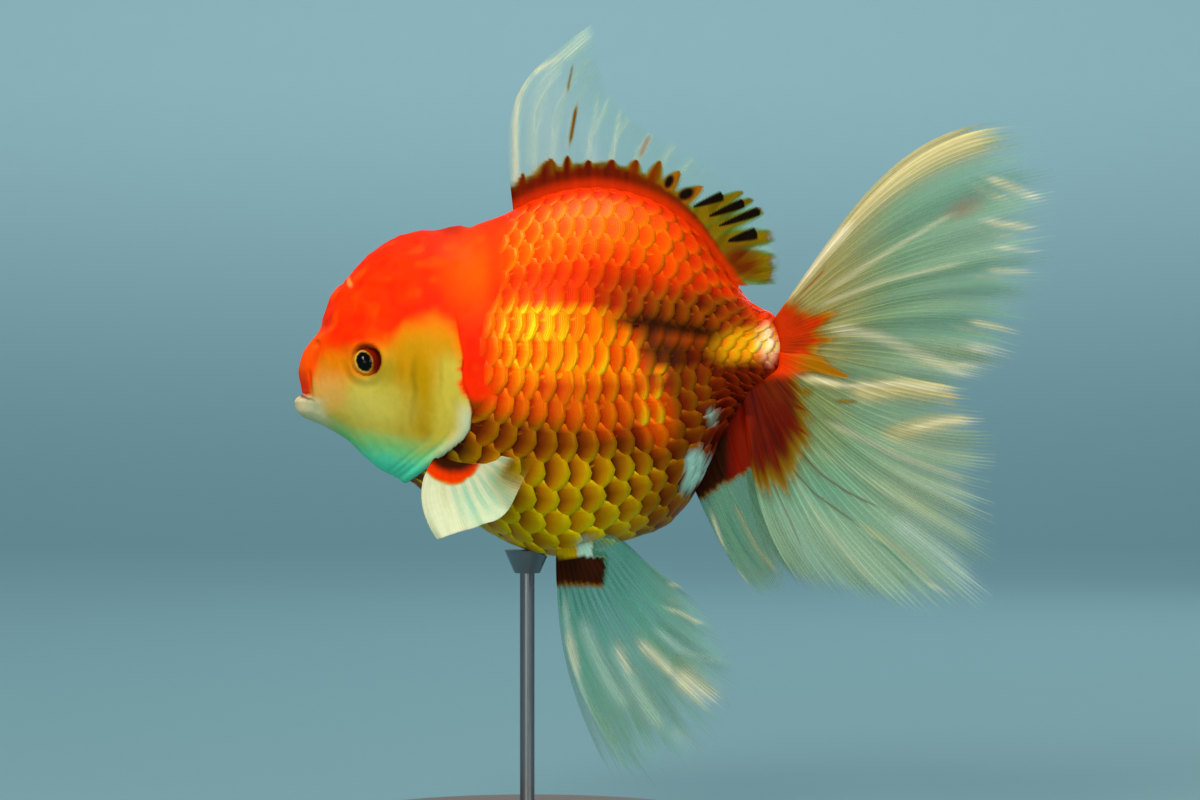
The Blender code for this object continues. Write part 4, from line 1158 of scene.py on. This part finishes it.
def dorsalLook(points, across, along, lines, seed):
    # Clear webs with pale fans, over a dark band along the base that ends in teeth; black spots behind
    x, z, f = points[:, 0], points[:, 2], finPalette
    rise = z - backAt(x)
    count = len(points)
    # painted light on the web's folds: slow bands where it is more solid
    colour, alpha = spread(f["clear"], count), 0.08 + 0.10 * veil(across, along, seed, 9)
    # pale leading ray, a milky front web, and soft fans that open upwards from the tips of the teeth
    haze = fall(9.0, 19.0, x + 0.5 * (z - 160)) * (0.4 + 0.6 * veil(across, along, seed + 1, 14))
    colour = blend(colour, f["pale"], haze)
    alpha = np.maximum(alpha, 0.22 * haze)
    colour, alpha = streaks(colour, alpha, x, z, (
        (((1.0, 146), (1.6, 160), (3.7, 167), (6.6, 171.2), (9.5, 174)), 1.5, "pale", 0.5),
        (((4.6, 146), (6.0, 158), (8.0, 165), (12, 171), (15.5, 176)), 1.2, "pale", 0.4),
        (((8.7, 150), (9.6, 160.2), (12.5, 167), (16.3, 172.4)), 0.8, "pale", 0.45),
        (((-2.6, 140), (-2.6, 158.8), (-1.8, 165), (0.7, 169.7), (6.2, 172.4), (10, 176), (13.8, 180), (17.4, 184)),
         0.9, "pale", 0.85),
        (((-2.6, 140), (-2.8, 158.8), (-2.0, 165), (0.5, 169.9), (6.0, 172.8), (9.8, 176.4)), 0.35, "ivory", 0.7),
        (((5.0, 171.6), (9.5, 174.6), (13.2, 178.4), (17.5, 183)), 1.6, "pale", 0.8),
        (((12.4, 146), (14.2, 156.4), (15, 160.2), (15.7, 167.5)), 0.55, "pale", 0.65),
        (((12.8, 148), (14.2, 156.4), (16.7, 161.1), (18.6, 167.0)), 0.55, "pale", 0.65),
        (((17.4, 146), (19.4, 155.4), (20.9, 164.3)), 0.6, "pale", 0.7),
        (((17.4, 146), (19.4, 155.4), (22.6, 160.6), (24.8, 161.4)), 0.7, "pale", 0.6),
        (((22.6, 147), (25.2, 153.2), (28.6, 158.6)), 1.0, "pale", 0.75),
        (((27.6, 147), (31, 152.4), (33.6, 156)), 0.9, "pale", 0.6),
        (((32.4, 145.4), (34.4, 148.9), (37.2, 152.4)), 0.8, "pale", 0.5),
        (((44, 131.4), (52, 131.4), (57.6, 130.4)), 0.5, "pale", 0.55),
        (((8.8, 164.4), (9.1, 167.4), (9.8, 170.6), (10.2, 173)), 0.28, "olive", 1.0),
        (((9.0, 152.4), (9.7, 156.2), (10.6, 161.6), (11.4, 164.6)), 0.42, "olive", 1.2),
        (((24.4, 150.6), (25.6, 153.4), (26.4, 155.2), (27.4, 156.8)), 0.45, "ochre", 0.8)))
    # a dark band along the base that ends in teeth, one along each ray: maroon in front, then brown, amber and moss
    height = np.interp(x, (-3, 20, 30, 40, 48), (4.8, 4.9, 4.0, 2.8, 1.8)) + 0.5 * mottle(points, 2.0, seed + 4)
    low = fall(-0.5, 0.5, rise - height)
    colour = blend(colour, f["olive"] * 0.6, low)
    alpha = np.maximum(alpha, solid * low)
    for shade, fringe, teeth in (
            ("redBrown", "olive", ((-1.8, 140, -0.9, 147.8, 2.3), (3.4, 142, 5.3, 151.0, 4.6),
                                   (8.9, 143, 8.8, 151.8, 2.3), (12.8, 143, 13.5, 150.9, 3.1),
                                   (17.2, 143, 18.7, 151.0, 3.4))),
            ("burnt", "olive", ((21.4, 141.5, 24.0, 150.9, 3.4), (25.0, 139.5, 29.2, 150.7, 3.0))),
            ("amber", "olive", ((27.2, 140.6, 33.6, 148.4, 2.8), (30.2, 139.8, 38.6, 144.9, 2.6))),
            ("olive", "moss", ((35.4, 138.0, 47.8, 144.0, 1.9), (39.2, 137.7, 50.6, 142.6, 1.6),
                               (41.6, 135.8, 54.4, 140.8, 1.7), (43.0, 132.8, 57.4, 134.4, 2.5),
                               (44.0, 128.0, 58.4, 124.2, 3.6), (44.0, 128.6, 57.6, 128.6, 3.0)))):
        colour, alpha = tongues(colour, alpha, x, z, shade, fringe, teeth)
    colour = blend(colour, f["redBrown"], blob(x, z, 47.0, 128.6, 4.2, 3.2, -30, 0.6) * 0.9)
    bandTop = height - 0.8
    under = blend(spread(f["redBrown"], count), f["burnt"] * 0.8, smooth(18, 32, x))
    colour = blend(colour, under, fall(-0.7, 0.7, rise - bandTop) * (1 - 0.5 * smooth(38, 46, x)))
    # fine darker and olive stripes inside the painted part, and red where the fin leaves the back
    stripes = noise(fibres(across, along, 70, 2.5), 1.0, seed + 10)
    inside = smooth(1.2, 2.4, alpha)
    colour = blend(colour, colour * 0.55, 0.75 * inside * smooth(0.45, 0.85, stripes))
    colour = blendAll(colour, (
        (f["olive"] * 0.8, 0.45 * inside * smooth(0.5, 0.1, stripes) * smooth(2.2, 4.5, rise)),
        (f["orangeRed"] * 0.8, fall(-0.3, 2.3, rise) * 0.8)))
    spots = np.maximum(blob(x, z, 31.2, 146.0, 1.6, 0.95, 65, 0.34), blob(x, z, 34.9, 143.3, 1.9, 1.25, 30, 0.34))
    for row in ((42.2, 142.6, 36.4, 140.4, 1.15), (46.7, 141.0, 39.8, 138.3, 1.15), (50.0, 139.2, 42.0, 136.2, 1.10),
                (49.7, 134.5, 44.0, 132.9, 1.45)):
        spots = np.maximum(spots, fall(0.70, 1.15, wedge(x, z, *row)))
    colour = blend(colour, f["black"], spots)
    alpha = np.maximum(alpha, solid * spots)
    # the rear lobe fades out in ragged tips, and ends above the tail's root
    ending = smooth(50.2, 56.2, x + 1.3 * mottle(points, 1.4, seed + 9)) * fall(134.5, 136.5, z)
    alpha = alpha * (1 - ending) ** 1.6
    return colour, alpha * (1 - smooth(45.5, 46.5, x) * fall(122.9, 123.9, z))


def upperLook(points, across, along, lines, seed):
    # The upper tail lobe: milky green webs, ivory streaks, and the orange-red flame at its root
    x, z, f = points[:, 0], points[:, 2], finPalette
    count = len(points)
    # painted light on the web's folds: bands that are brighter and more solid
    band = veil(across, along, seed, 9)
    near = fall(64, 84, x)
    edge = fall(0.03, 0.12, across) * fall(0.80, 0.98, along)
    colour = blendAll(spread(f["cream"] * 0.6 + f["sage"] * 0.4, count), (
        (f["sage"], smooth(0.10, 0.50, along + 0.25 * (across - 0.3))),
        (f["teal"], 0.45 * smooth(0.35, 0.8, along) * fall(0.5, 0.9, across)),
        (f["ivory"], 0.25 * band * smooth(0.3, 0.7, along)),
        (f["oliveCream"], near * 0.75), (f["cream"], edge)))
    alpha = (0.74 - 0.30 * smooth(0.25, 0.9, along)) * (0.60 + 0.60 * band)
    alpha = np.maximum(np.maximum(alpha, 0.85 * near), 1.1 * edge)
    colour, alpha = streaks(colour, alpha, x, z, (
        (((58.6, 122.4), (64, 129.5), (72.6, 138)), 1.0, "ivory", 0.8),
        (((57.6, 118.8), (62.2, 123.4), (64.7, 126.0), (65.6, 129.0)), 0.22, "rust", 0.75),
        (((64.4, 113.6), (70.6, 113.2), (76.2, 111.8), (81.8, 109.4), (87.5, 106.6), (93.2, 103.8), (101.7, 101)),
         1.1, "ivory", 0.55),
        (((97, 147), (106, 143.5), (114, 140)), 1.1, "ivory", 0.7),
        (((96.4, 137), (106, 135.4), (114, 134)), 0.9, "ivory", 0.75),
        (((99, 131), (113, 129.6)), 0.6, "ivory", 0.6), (((97, 126), (111, 125.4)), 0.7, "ivory", 0.6),
        (((92.8, 115.4), (101, 113.6), (109, 111.4)), 0.8, "ivory", 0.7),
        (((92.8, 109.8), (106, 107.2)), 0.8, "ivory", 0.75),
        (((90, 106.2), (104, 104.6)), 0.6, "ivory", 0.7), (((62, 118), (78, 124), (96, 128)), 0.5, "ivory", 0.4),
        (((64, 121), (80, 131), (95, 140)), 0.5, "ivory", 0.4)))
    colour = blend(colour, f["rust"], blob(x, z, 95.4, 140.0, 3.8, 2.0, 25, 0.7) * 0.45)
    # the flame at the root: orange-red, then ochre, both ending unevenly along the rays
    away = np.hypot(x - 54.9, z - 110.8)
    bearing = np.arctan2(z - 110.8, np.maximum(x - 54.9, 0.01))
    rays = fibres(across, along, 26, 1.5)
    reach = 8.7 + 1.4 * noise(rays, 1.0, seed + 5) + 1.4 * noise(rays * 2.6, 1.0, seed + 8)
    for angle, width, size in ((0.46, 0.13, 4.4), (0.02, 0.09, 2.6), (-0.46, 0.07, 6.0)):
        reach = reach + size * bell(bearing, angle, width)
    fringe = fall(reach - 2.4, reach + 1.4, away)
    amber = blend(spread(f["ochre"], count), f["leafBrown"], noise(points, 1.8, seed + 7))
    colour = blend(colour, amber, fringe)
    alpha = np.maximum(alpha, 2.2 * fringe**1.4)
    glow = blend(spread(f["orangeRed"] * 0.9, count), f["burnt"], 0.7 * noise(points, 2.2, seed + 6))
    heart = reach * 0.74 + 0.8 * smooth(-0.1, 0.7, bearing)
    colour = blend(colour, glow, fall(heart - 1.6, heart + 1.2, away))
    return colour, alpha


def lowerLook(points, across, along, lines, seed):
    # The lower tail lobe: cream streaks, two of them painted highlights on the web's folds, and dark veins, a dark red
    # root, and the flame along its upper edge
    x, z, f = points[:, 0], points[:, 2], finPalette
    count = len(points)
    # painted light on the web's folds: bands that are brighter and more solid
    band = veil(across, along, seed, 10)
    near = fall(9, 21, np.hypot(x - 51, (z - 98) * 0.85))
    colour = blendAll(spread(f["oliveCream"], count), (
        (f["sage"], smooth(0.10, 0.45, along)), (f["teal"], smooth(0.35, 0.8, across) * 0.5),
        (f["ivory"], 0.35 * band * smooth(0.3, 0.7, along)), (f["moss"] * 0.5 + f["sage"] * 0.5, near * 0.8)))
    alpha = (0.76 - 0.32 * smooth(0.25, 0.9, along)) * (0.60 + 0.60 * band)
    alpha = np.maximum(alpha, 0.9 * near)
    # painted highlight: the two broad cream streaks near heights 100 and 92 are light on the web's folds
    colour, alpha = streaks(colour, alpha, x, z, (
        (((58.8, 103.2), (65, 102.0), (70.6, 100.6)), 0.9, "cream", 1.1),
        (((68, 101.2), (74, 99.9), (81.8, 100.6), (87.5, 100.2), (95.4, 98.2)), 2.3, "cream", 1.0),
        (((60, 103.2), (70, 101.0), (80, 101.6), (92, 99.8)), 0.5, "ivory", 0.8),
        (((75.4, 90.3), (81.5, 91.1), (87.1, 92.8), (92.8, 93.7), (98.4, 93.5), (102.3, 90.8)), 1.7, "cream", 0.85),
        (((80, 91.2), (90, 93.6), (99, 93.4)), 0.5, "ivory", 0.7),
        (((66.5, 98.0), (69.4, 97.6), (72.4, 97.7)), 0.45, "olive", 0.9),
        (((59.6, 99.9), (63.0, 99.5)), 1.0, "olive", 0.9),
        (((64, 94), (80, 86), (96, 80)), 0.7, "ivory", 0.45), (((62, 88), (78, 78), (96, 68)), 0.7, "ivory", 0.12),
        (((77.1, 73.8), (83.5, 70.2), (89.3, 65.5), (94.5, 58.8), (98.2, 52.4)), 2.4, "pale", 0.60),
        (((70, 72.4), (79, 66.6), (88, 58.0)), 0.9, "cream", 0.35),
        (((56, 84), (66, 68), (76, 57)), 0.6, "ivory", 0.15), (((84, 60), (92, 56)), 0.5, "ivory", 0.5),
        (((56.6, 90.4), (58.6, 87.6), (63.6, 82.0), (68.6, 78.5), (73, 76.2), (77.5, 74.3)), 0.20, "vein", 0.8),
        (((55.4, 86.6), (56.8, 84.0), (61.9, 78.0), (66, 75), (69.7, 72.4), (72.4, 69.6)), 0.20, "vein", 0.8),
        (((51.4, 86.0), (52.6, 82.0), (54.1, 78.0), (56.7, 72.4), (60.0, 64)), 0.18, "vein", 0.6),
        (((72.4, 69.6), (77.1, 66.4), (84.9, 58.6)), 0.3, "darkTeal", 0.6),
        (((57.4, 94.2), (62.4, 89.4)), 0.4, "leafBrown", 0.8)))
    # dark red root with a ragged olive fringe that follows the rays
    rays = fibres(across, along, 24, 2)
    rough = 2.4 * noise(rays, 1.0, seed + 5) + 1.4 * noise(rays * 2.4, 1.0, seed + 8)
    d = np.hypot(x - 50.5, (z - 98.6) * 0.8) - 6.9 - 0.34 * np.maximum(96.4 - z, -1.5) - rough
    fringe, core = fall(0.2, 3.2, d), fall(-1.4, 0.9, d)
    colour = blend(colour, f["olive"] * 0.5 + f["leafBrown"] * 0.3, fringe)
    colour, alpha = tongues(colour, np.maximum(alpha, 2.4 * fringe**1.5), x, z, "maroon", "olive", (
        (52.0, 99.0, 60.6, 95.8, 1.6), (51.0, 98.0, 60.6, 90.6, 1.8)))
    dark = blend(spread(f["maroon"] * 0.7, count), f["redBrown"] * 0.8, noise(points, 2.4, seed + 6))
    dark = blend(dark, f["burnt"] * 0.8, 0.6 * fall(2.0, 6.0, np.hypot(x - 55.0, z - 101.0)))
    dark = dark * (1 - 0.45 * smooth(0.45, 0.85, noise(rays * 2.0, 1.0, seed + 12)))[:, None]
    colour = blend(colour, blend(dark, f["leafBrown"] * 0.7, 0.5 * smooth(-2.5, 0.5, d)), core)
    ember = wedge(x, z, 47.8, 93.0, 47.6, 82.0, 2.4)
    colour = blend(colour, f["ember"], fall(0.1, 1.1, ember) * 0.7)
    alpha = np.maximum(alpha, solid * np.maximum(core, fall(0.6, 1.2, ember)))
    # the upper edge takes up the flame of the lobe above
    away = np.hypot(x - 54.9, z - 110.0)
    ragged = 10.4 + 3.0 * noise(rays, 1.0, seed + 11)
    ochre = fall(ragged - 2.4, ragged + 1.4, away) * smooth(103.2, 105.0, z)
    colour = blend(colour, f["ochre"] * 0.6 + f["leafBrown"] * 0.4, ochre)
    ochre = np.maximum(ochre, fall(0.5, 1.2, wedge(x, z, 59.0, 107.0, 70.0, 102.9, 2.0)))
    colour = blend(colour, f["ochre"] * 0.7 + f["leafBrown"] * 0.3, ochre)
    flame = fall(56.0, 63.0, x) * smooth(101.5, 104.5, z)
    colour = blend(colour, f["orangeRed"], flame)
    alpha = np.maximum(alpha, np.maximum(2.2 * ochre**1.4, 2.0 * flame))
    return colour, alpha


def pelvicLook(points, across, along, lines, seed):
    # Clear blue-green web with pale streaks, under a solid dark block
    x, z, f = points[:, 0], points[:, 2], finPalette
    count = len(points)
    # painted light on the web's folds: bands where it is more solid
    band = veil(across, along, seed, 8)
    colour = blend(spread(f["teal"], count), f["sage"], 0.6 * smooth(0.35, 0.8, along))
    alpha = (0.42 - 0.10 * smooth(0.3, 0.95, along)) * (0.65 + 0.55 * band)
    nearRoot = fall(0.25, 0.50, along)
    colour = blend(colour, f["darkTeal"], lines * 0.8 * nearRoot)
    alpha = np.maximum(alpha, lines * 0.55 * nearRoot)
    colour, alpha = streaks(colour, alpha, x, z, (
        (((8.1, 57.5), (8.8, 50.7), (9.9, 43.5), (11.6, 36.4), (13.8, 29.9), (17, 24.6), (22, 17.4)),
         0.75, "pale", 0.58),
        (((8.9, 49), (9.9, 43.5), (11.4, 37)), 1.12, "ivory", 0.47),
        (((11.6, 52.5), (13.1, 47.8), (15.2, 42.8), (18.1, 37.1), (20.9, 33.5), (23.8, 29.9)), 1.5, "pale", 0.51),
        (((18.1, 47.8), (20.9, 42.1), (23.8, 36.4), (26.6, 31), (31, 26)), 1.88, "pale", 0.55),
        (((19, 46), (23, 38)), 0.62, "ivory", 0.55), (((30.9, 29.2), (34, 26), (38, 22.1)), 1.62, "pale", 0.58),
        (((22.4, 47.8), (25.9, 44.6), (30.6, 40.3), (34, 38)), 1.25, "ivory", 0.66),
        (((30, 40.8), (35.6, 37.1), (40.2, 34.6), (43.4, 32)), 2.5, "ivory", 0.74),
        (((25.9, 50), (33.1, 45), (38.4, 43.2), (44.5, 41.8)), 0.88, "pale", 0.51),
        (((28.1, 54.3), (33.1, 52.5), (36.6, 50.7), (40.2, 50.1)), 0.56, "ivory", 0.55),
        (((29.9, 58.5), (33.1, 58.4), (34.9, 57.6)), 0.56, "ivory", 0.58),
        (((30.2, 23.2), (33.8, 18.5)), 0.62, "pale", 0.55)))
    # the solid dark block at the root, with an uneven brown lower edge
    teeth = 0.35 * np.abs(np.sin(np.pi * across * 17 + 0.4)) + 0.5 * mottle(points, 1.6, seed + 4)
    reach = np.maximum(58.4 - z, (x - 16.9 + 0.06 * (60 - z)) * 0.9) - teeth
    brown = fall(-0.3, 0.9, 58.4 - z - teeth - 0.5) * fall(-0.2, 0.2, x - 16.6)
    base = fall(-0.5, 0.5, reach)
    # above the block the fin is as the belly's scales are, and clear behind them
    above = smooth(-0.25, 0.25, z - 63.9 - 0.5 * mottle(points, 1.8, seed + 7))
    kept = 1 - above * smooth(14.2, 15.0, x + 0.5 * mottle(points, 1.2, seed + 8))
    brown, base = brown * kept, base * kept
    colour = blend(colour, f["leafBrown"], brown)
    colour = blend(colour, blend(spread(f["black"], count), f["umber"], noise(points, 2.6, seed + 6)), base)
    patch = window(x + 0.6 * mottle(points, 1.2, seed + 8), 11.4, 14.8, 0.4) * fall(66.4, 67.6, z)
    belly = blend(spread(palette["limeMid"] * 0.22 + palette["limeRim"] * 0.30, count), palette["mint"] * 0.75, patch)
    colour = blend(colour, belly, above * base)
    return colour, np.maximum(alpha, solid * np.maximum(base, brown * 0.4))


def pectoralLook(points, across, along, lines, seed):
    # Cream with soft greener folds, an orange-red to dark base, and a thin olive rear edge
    x, z, f = points[:, 0], points[:, 2], finPalette
    count = len(points)
    colour = blend(blend(spread(f["cream"], count), f["ivory"], 0.35), palette["mint"], 0.30)
    # broad soft bands along the fin, greener in its rear half, olive at the rear tip
    slow = noise(fibres(across, along, 12, 1.2), 1.0, seed)
    soft = smooth(0.22, 0.50, across) * smooth(0.30, 0.55, along)
    colour = blend(colour, f["teal"] * 1.35, soft * (0.15 + 0.45 * smooth(0.35, 0.65, slow)))
    folds = smooth(0.1, 0.9, 0.5 + 0.5 * np.sin(2 * np.pi * (9.5 * across + 0.4 * along))) * smooth(0.15, 0.40, across)
    colour = blend(colour, f["teal"] * 1.2, 0.45 * folds * window(along, 0.25, 0.85, 0.15))
    colour = blend(colour, f["cream"] * 0.86, (1 - soft) * smooth(0.5, 0.8, slow) * 0.4)
    # the rear end thins out and lets the olive scales through
    rear = smooth(0.56, 0.92, across) * smooth(0.25, 0.70, along)
    alpha = 3.0 - 2.8 * rear
    colour = blend(colour, f["olive"] * 1.3, rear)
    # above a curved line the base turns orange-red, then nearly black
    line = 79.9 + np.where(x < -15.6, 0.09, 0.11) * (x + 15.6) ** 2
    above = z - line + 0.25 * mottle(points, 1.6, seed + 4)
    front = fall(-11.6, -7.0, x + 0.6 * mottle(points, 1.4, seed + 6))
    colour = blendAll(colour, (
        (f["ochre"] * 1.2, smooth(-0.6, 0.2, above) * front), (f["orangeRed"], smooth(-0.2, 0.7, above) * front),
        (f["umber"], smooth(1.6, 3.6, above + 0.30 * np.maximum(x + 15, 0)) * front)))
    return colour, np.maximum(alpha, solid * smooth(-0.6, 0.0, above))


def analLook(points, across, along, lines, seed):
    # A thin clear web with a few streaks, under a dark root
    x, z, f = points[:, 0], points[:, 2], finPalette
    count = len(points)
    # painted light on the web's folds: bands where it is more solid
    band = veil(across, along, seed, 5)
    colour = blend(spread(f["teal"] * 0.4 + f["sage"] * 0.6, count), f["sage"], smooth(0.5, 0.9, along))
    alpha = (0.50 - 0.20 * smooth(0.5, 0.95, along)) * (0.7 + 0.5 * band)
    colour, alpha = streaks(colour, alpha, x, z, (
        (((39.7, 76.1), (43.7, 62.9), (49.9, 56.1)), 0.45, "ivory", 0.6),
        (((42, 76), (47, 66), (52.6, 59)), 0.4, "darkTeal", 0.35),
        (((44.4, 77), (50, 66), (56, 58.6)), 0.45, "cream", 0.5)))
    bottom = 77.4 + 0.60 * (x - 39.0) + 0.9 * mottle(points, 1.8, seed + 4) + 0.25 * np.sin(across * 50)
    brown = smooth(-1.6, 0.2, z - bottom)
    dark = smooth(-0.5, 0.8, z - bottom)
    colour = blendAll(colour, (
        (f["leafBrown"], brown),
        (blend(spread(f["umber"], count), f["black"], 0.6 * noise(points, 2.2, seed + 6)), dark),
        (f["maroon"], dark * smooth(42.8, 45.2, x)),
        (f["ember"], dark * smooth(45.0, 46.6, x) * fall(90, 94, z) * 0.8)))
    return colour, np.maximum(alpha, solid * np.maximum(brown * 0.6, dark))


# where the rays fork first and again, how much lighter and how much more solid they are, how far the tips reach
finMaterials = {"long": makeFinMaterial("longFin", 0.18, 0.45, 0.16, 0.34, 0.0),
                "short": makeFinMaterial("shortFin", 0.30, 0.62, 0.12, 0.30, 0.6),
                "smooth": makeFinMaterial("smoothFin", 0.30, 0.62, 0.08, 0.10, 0.7)}


# "piece" and "node" are the names here and in the solids; "farSwing" turns the right one by some degrees; "pleats",
# "depth" and "fullness" are the solids' own; the rest shapes rays, ridges, roots and tips
longFin = {"first": 0.18, "second": 0.45, "material": "long", "ridge": 0.16, "fleshy": 0.26, "rootThick": 1.5,
           "ragged": 0.055, "feather": 0.90, "ripple": 0.45, "farSwing": 0, "fullness": 0.4, "combed": 1, "web": 0.10}
shortFin = dict(longFin, first=0.30, second=0.62, material="short", ripple=0.22, ragged=0.07)
fins = {
    "dorsal": dict(shortFin, piece="dorsalSail", node="dorsal_fin", look=dorsalLook, grid=(250, 80), rays=16, seed=3,
                   pleats=0, depth=0, fullness=0.53, ragged=0.02, ripple=0.30, rootThick=1.7, ridge=0.06,
                   feather=0.93, combed=0),
    "pectoral": dict(shortFin, piece="pectoralFan_", node="pectoral_fin_{}", look=pectoralLook, grid=(150, 60),
                     rays=13, seed=11, pleats=3, depth=0.5, ragged=0.015, feather=1.3, combed=0, material="smooth",
                     ridge=0.04),
    "pelvic": dict(longFin, piece="pelvicFan_", node="pelvic_fin_{}", look=pelvicLook, grid=(190, 90), rays=16,
                   seed=17, farSwing=-7, pleats=3, depth=0.7, ridge=0.12),
    "anal": dict(shortFin, piece="analFan_", node="anal_fin_{}", look=analLook, grid=(110, 60), rays=8, seed=23,
                 pleats=2, depth=0.4),
    "upper": dict(longFin, piece="tailUpper_", node="tail_fin_{}_upper", look=upperLook, grid=(320, 96), rays=21,
                  seed=29, farSwing=3, pleats=3, depth=0.9, ripple=0.8, ridge=0.10),
    "lower": dict(longFin, piece="tailLower_", node="tail_fin_{}_lower", look=lowerLook, grid=(340, 96), rays=22,
                  seed=37, farSwing=-3, pleats=3, depth=0.9, ripple=0.8, ridge=0.10),
}

makeFin("dorsal", 1)
for finSide, finSideName in ((-1, "left"), (1, "right")):
    for finKind in ("pectoral", "pelvic", "anal", "upper", "lower"):
        makeFin(finKind, finSide, finSideName)
print("fins done")


stand = {"grainStretch": (12.0, 160.0, 160.0), "woodDark": paint(52, 30, 18), "woodLight": paint(112, 70, 40),
         "steel": paint(132, 134, 138)}


def makeStandLooks():
    # Oiled wood for the base and brushed steel for rod, collar and cup, put in the solids' own slots
    wood, tree, shader = newMaterial("oiledWood", coat=0.3, coatRoughness=0.25, roughness=0.5)
    link = tree.links.new
    place = addNode(tree, "ShaderNodeTexCoord")
    squeeze = addNode(tree, "ShaderNodeMapping", Scale=stand["grainStretch"])
    link(place.outputs["Object"], squeeze.inputs["Vector"])
    rings = addNode(tree, "ShaderNodeTexNoise", Scale=1.0, Detail=5.0, Distortion=1.2)
    link(squeeze.outputs[0], rings.inputs["Vector"])
    ramp = addNode(tree, "ShaderNodeMix", data_type="RGBA")
    factor, dark, light = (ramp.inputs[n] for n in (0, 6, 7))  # the sockets of a colour mix
    dark.default_value, light.default_value = (*stand["woodDark"], 1), (*stand["woodLight"], 1)
    link(rings.outputs["Fac"], factor)
    grain = useGroup(tree, fineMottle, Size=500.0, Amount=0.18, Rough=0.5, RoughVary=0.15)
    link(ramp.outputs[2], grain.inputs["Colour"])
    finishWith(tree, shader, grain, 0.15, 0.0002, rings.outputs["Fac"])
    steel, tree, shader = newMaterial("brushedSteel", metallic=1.0, roughness=0.35)
    grain = useGroup(tree, fineMottle, Colour=(*stand["steel"], 1), Size=300.0, Amount=0.03, Rough=0.36, RoughVary=0.05)
    finishWith(tree, shader, grain, 0.02, 0.00005)
    for obj in bpy.data.objects:
        if obj.type == "MESH" and obj.name.startswith("stand_"):
            material = wood if obj.name.startswith("stand_base") else steel
            if not obj.data.materials:
                obj.data.materials.append(material)
            for slot in obj.material_slots:
                slot.link = "OBJECT"
                slot.material = material
    print("stand")


makeStandLooks()


middle = (0.02, 0.0, 0.10)
stage = {
    "camera": (0.016, -0.733, 0.098), "lens": 100.0, "sensor": 36.0, "clip": (0.02, 20.0),
    "reach": 3000, "bend": 700,  # how far the floor goes, and the radius where it turns up
    "sky": (0.80, 0.86, 0.90), "glow": 0.30, "floorColour": paint(96, 132, 140), "wallColour": paint(140, 178, 186),
    "lamps": (  # name, place, aim, size, power, colour
        ("keyLamp", (-0.40, -0.80, 0.75), middle, 0.40, 7.6, (1.0, 0.93, 0.82)),
        ("topLamp", (0.10, -0.15, 1.00), middle, 0.45, 2.4, (1.0, 0.95, 0.86)),
        ("fillLamp", (0.80, -0.70, 0.30), middle, 0.60, 2.4, (1.0, 0.98, 0.94)),
        ("lowLamp", (-0.10, -0.75, 0.03), middle, 0.50, 1.4, (1.0, 0.97, 0.90)),
        ("rimLamp", (0.35, 0.80, 0.55), middle, 0.50, 1.6, (1.0, 0.95, 0.88)),
        ("glintLamp", (-0.20, -0.66, 0.36), middle, 0.06, 0.50, (1.0, 0.97, 0.92)),
        ("wallLamp", (0.0, 0.6, 2.6), (0.0, 2.2, 0.6), 1.5, 56.0, (1.0, 1.0, 1.0)))}


def makeFloor():
    # A pale floor that curves up into a pale wall
    reach, radius, turn = stage["reach"], stage["bend"], np.linspace(0, np.pi / 2, 17)
    profileY = np.concatenate([[-reach, 0, 1000], 1500 + radius * np.sin(turn), [1500 + radius]])
    profileZ = np.concatenate([[0, 0, 0], radius - radius * np.cos(turn), [reach + 200]])
    gx, gp = np.meshgrid(np.linspace(-reach, reach, 9), np.arange(len(profileY)), indexing="ij")
    points = np.stack([gx, profileY[gp], profileZ[gp]], -1).reshape(-1, 3)
    paper, tree, shader, grain = markedMaterial(
        "palePaper", {"Size": 60.0, "Amount": 0.015, "Rough": 0.85, "RoughVary": 0.02}, roughness=0.85, specular=0.2)
    finishWith(tree, shader, grain, 0.02, 0.0001)
    floor = newMesh("studioFloor", points, gridQuads(*gx.shape), paper)
    # painted shade: the floor is painted darker than the wall to even out the lamps' stronger light on it
    upwards = smooth(0, 420, points[:, 2])
    putColour(floor, blend(spread(stage["floorColour"], len(points)), stage["wallColour"], upwards))


def makeStage():
    # The floor, soft lamps, and a level camera at the fish's height
    makeFloor()
    scene = bpy.context.scene
    for name, place, aim, size, power, colour in stage["lamps"]:
        data = bpy.data.lights.new(name, "AREA")
        data.shape = "DISK"
        data.size, data.energy, data.color = size, power, colour
        lamp = bpy.data.objects.new(name, data)
        lamp.location = place
        lamp.rotation_euler = (Vector(aim) - Vector(place)).to_track_quat("-Z", "Y").to_euler()
        scene.collection.objects.link(lamp)
    world = bpy.data.worlds.new("softWorld")
    world.use_nodes = True
    background = world.node_tree.nodes["Background"]
    background.inputs["Color"].default_value = (*stage["sky"], 1)
    background.inputs["Strength"].default_value = stage["glow"]
    scene.world = world
    scene.view_settings.view_transform = "Standard"
    scene.cycles.transparent_max_bounces = 24
    camera = bpy.data.cameras.new("camera")
    camera.lens, camera.sensor_width = stage["lens"], stage["sensor"]
    camera.clip_start, camera.clip_end = stage["clip"]
    view = bpy.data.objects.new("camera", camera)
    view.location = stage["camera"]
    view.rotation_euler = (math.pi / 2, 0, 0)
    scene.collection.objects.link(view)
    scene.camera = view
    print("stage")


makeStage()
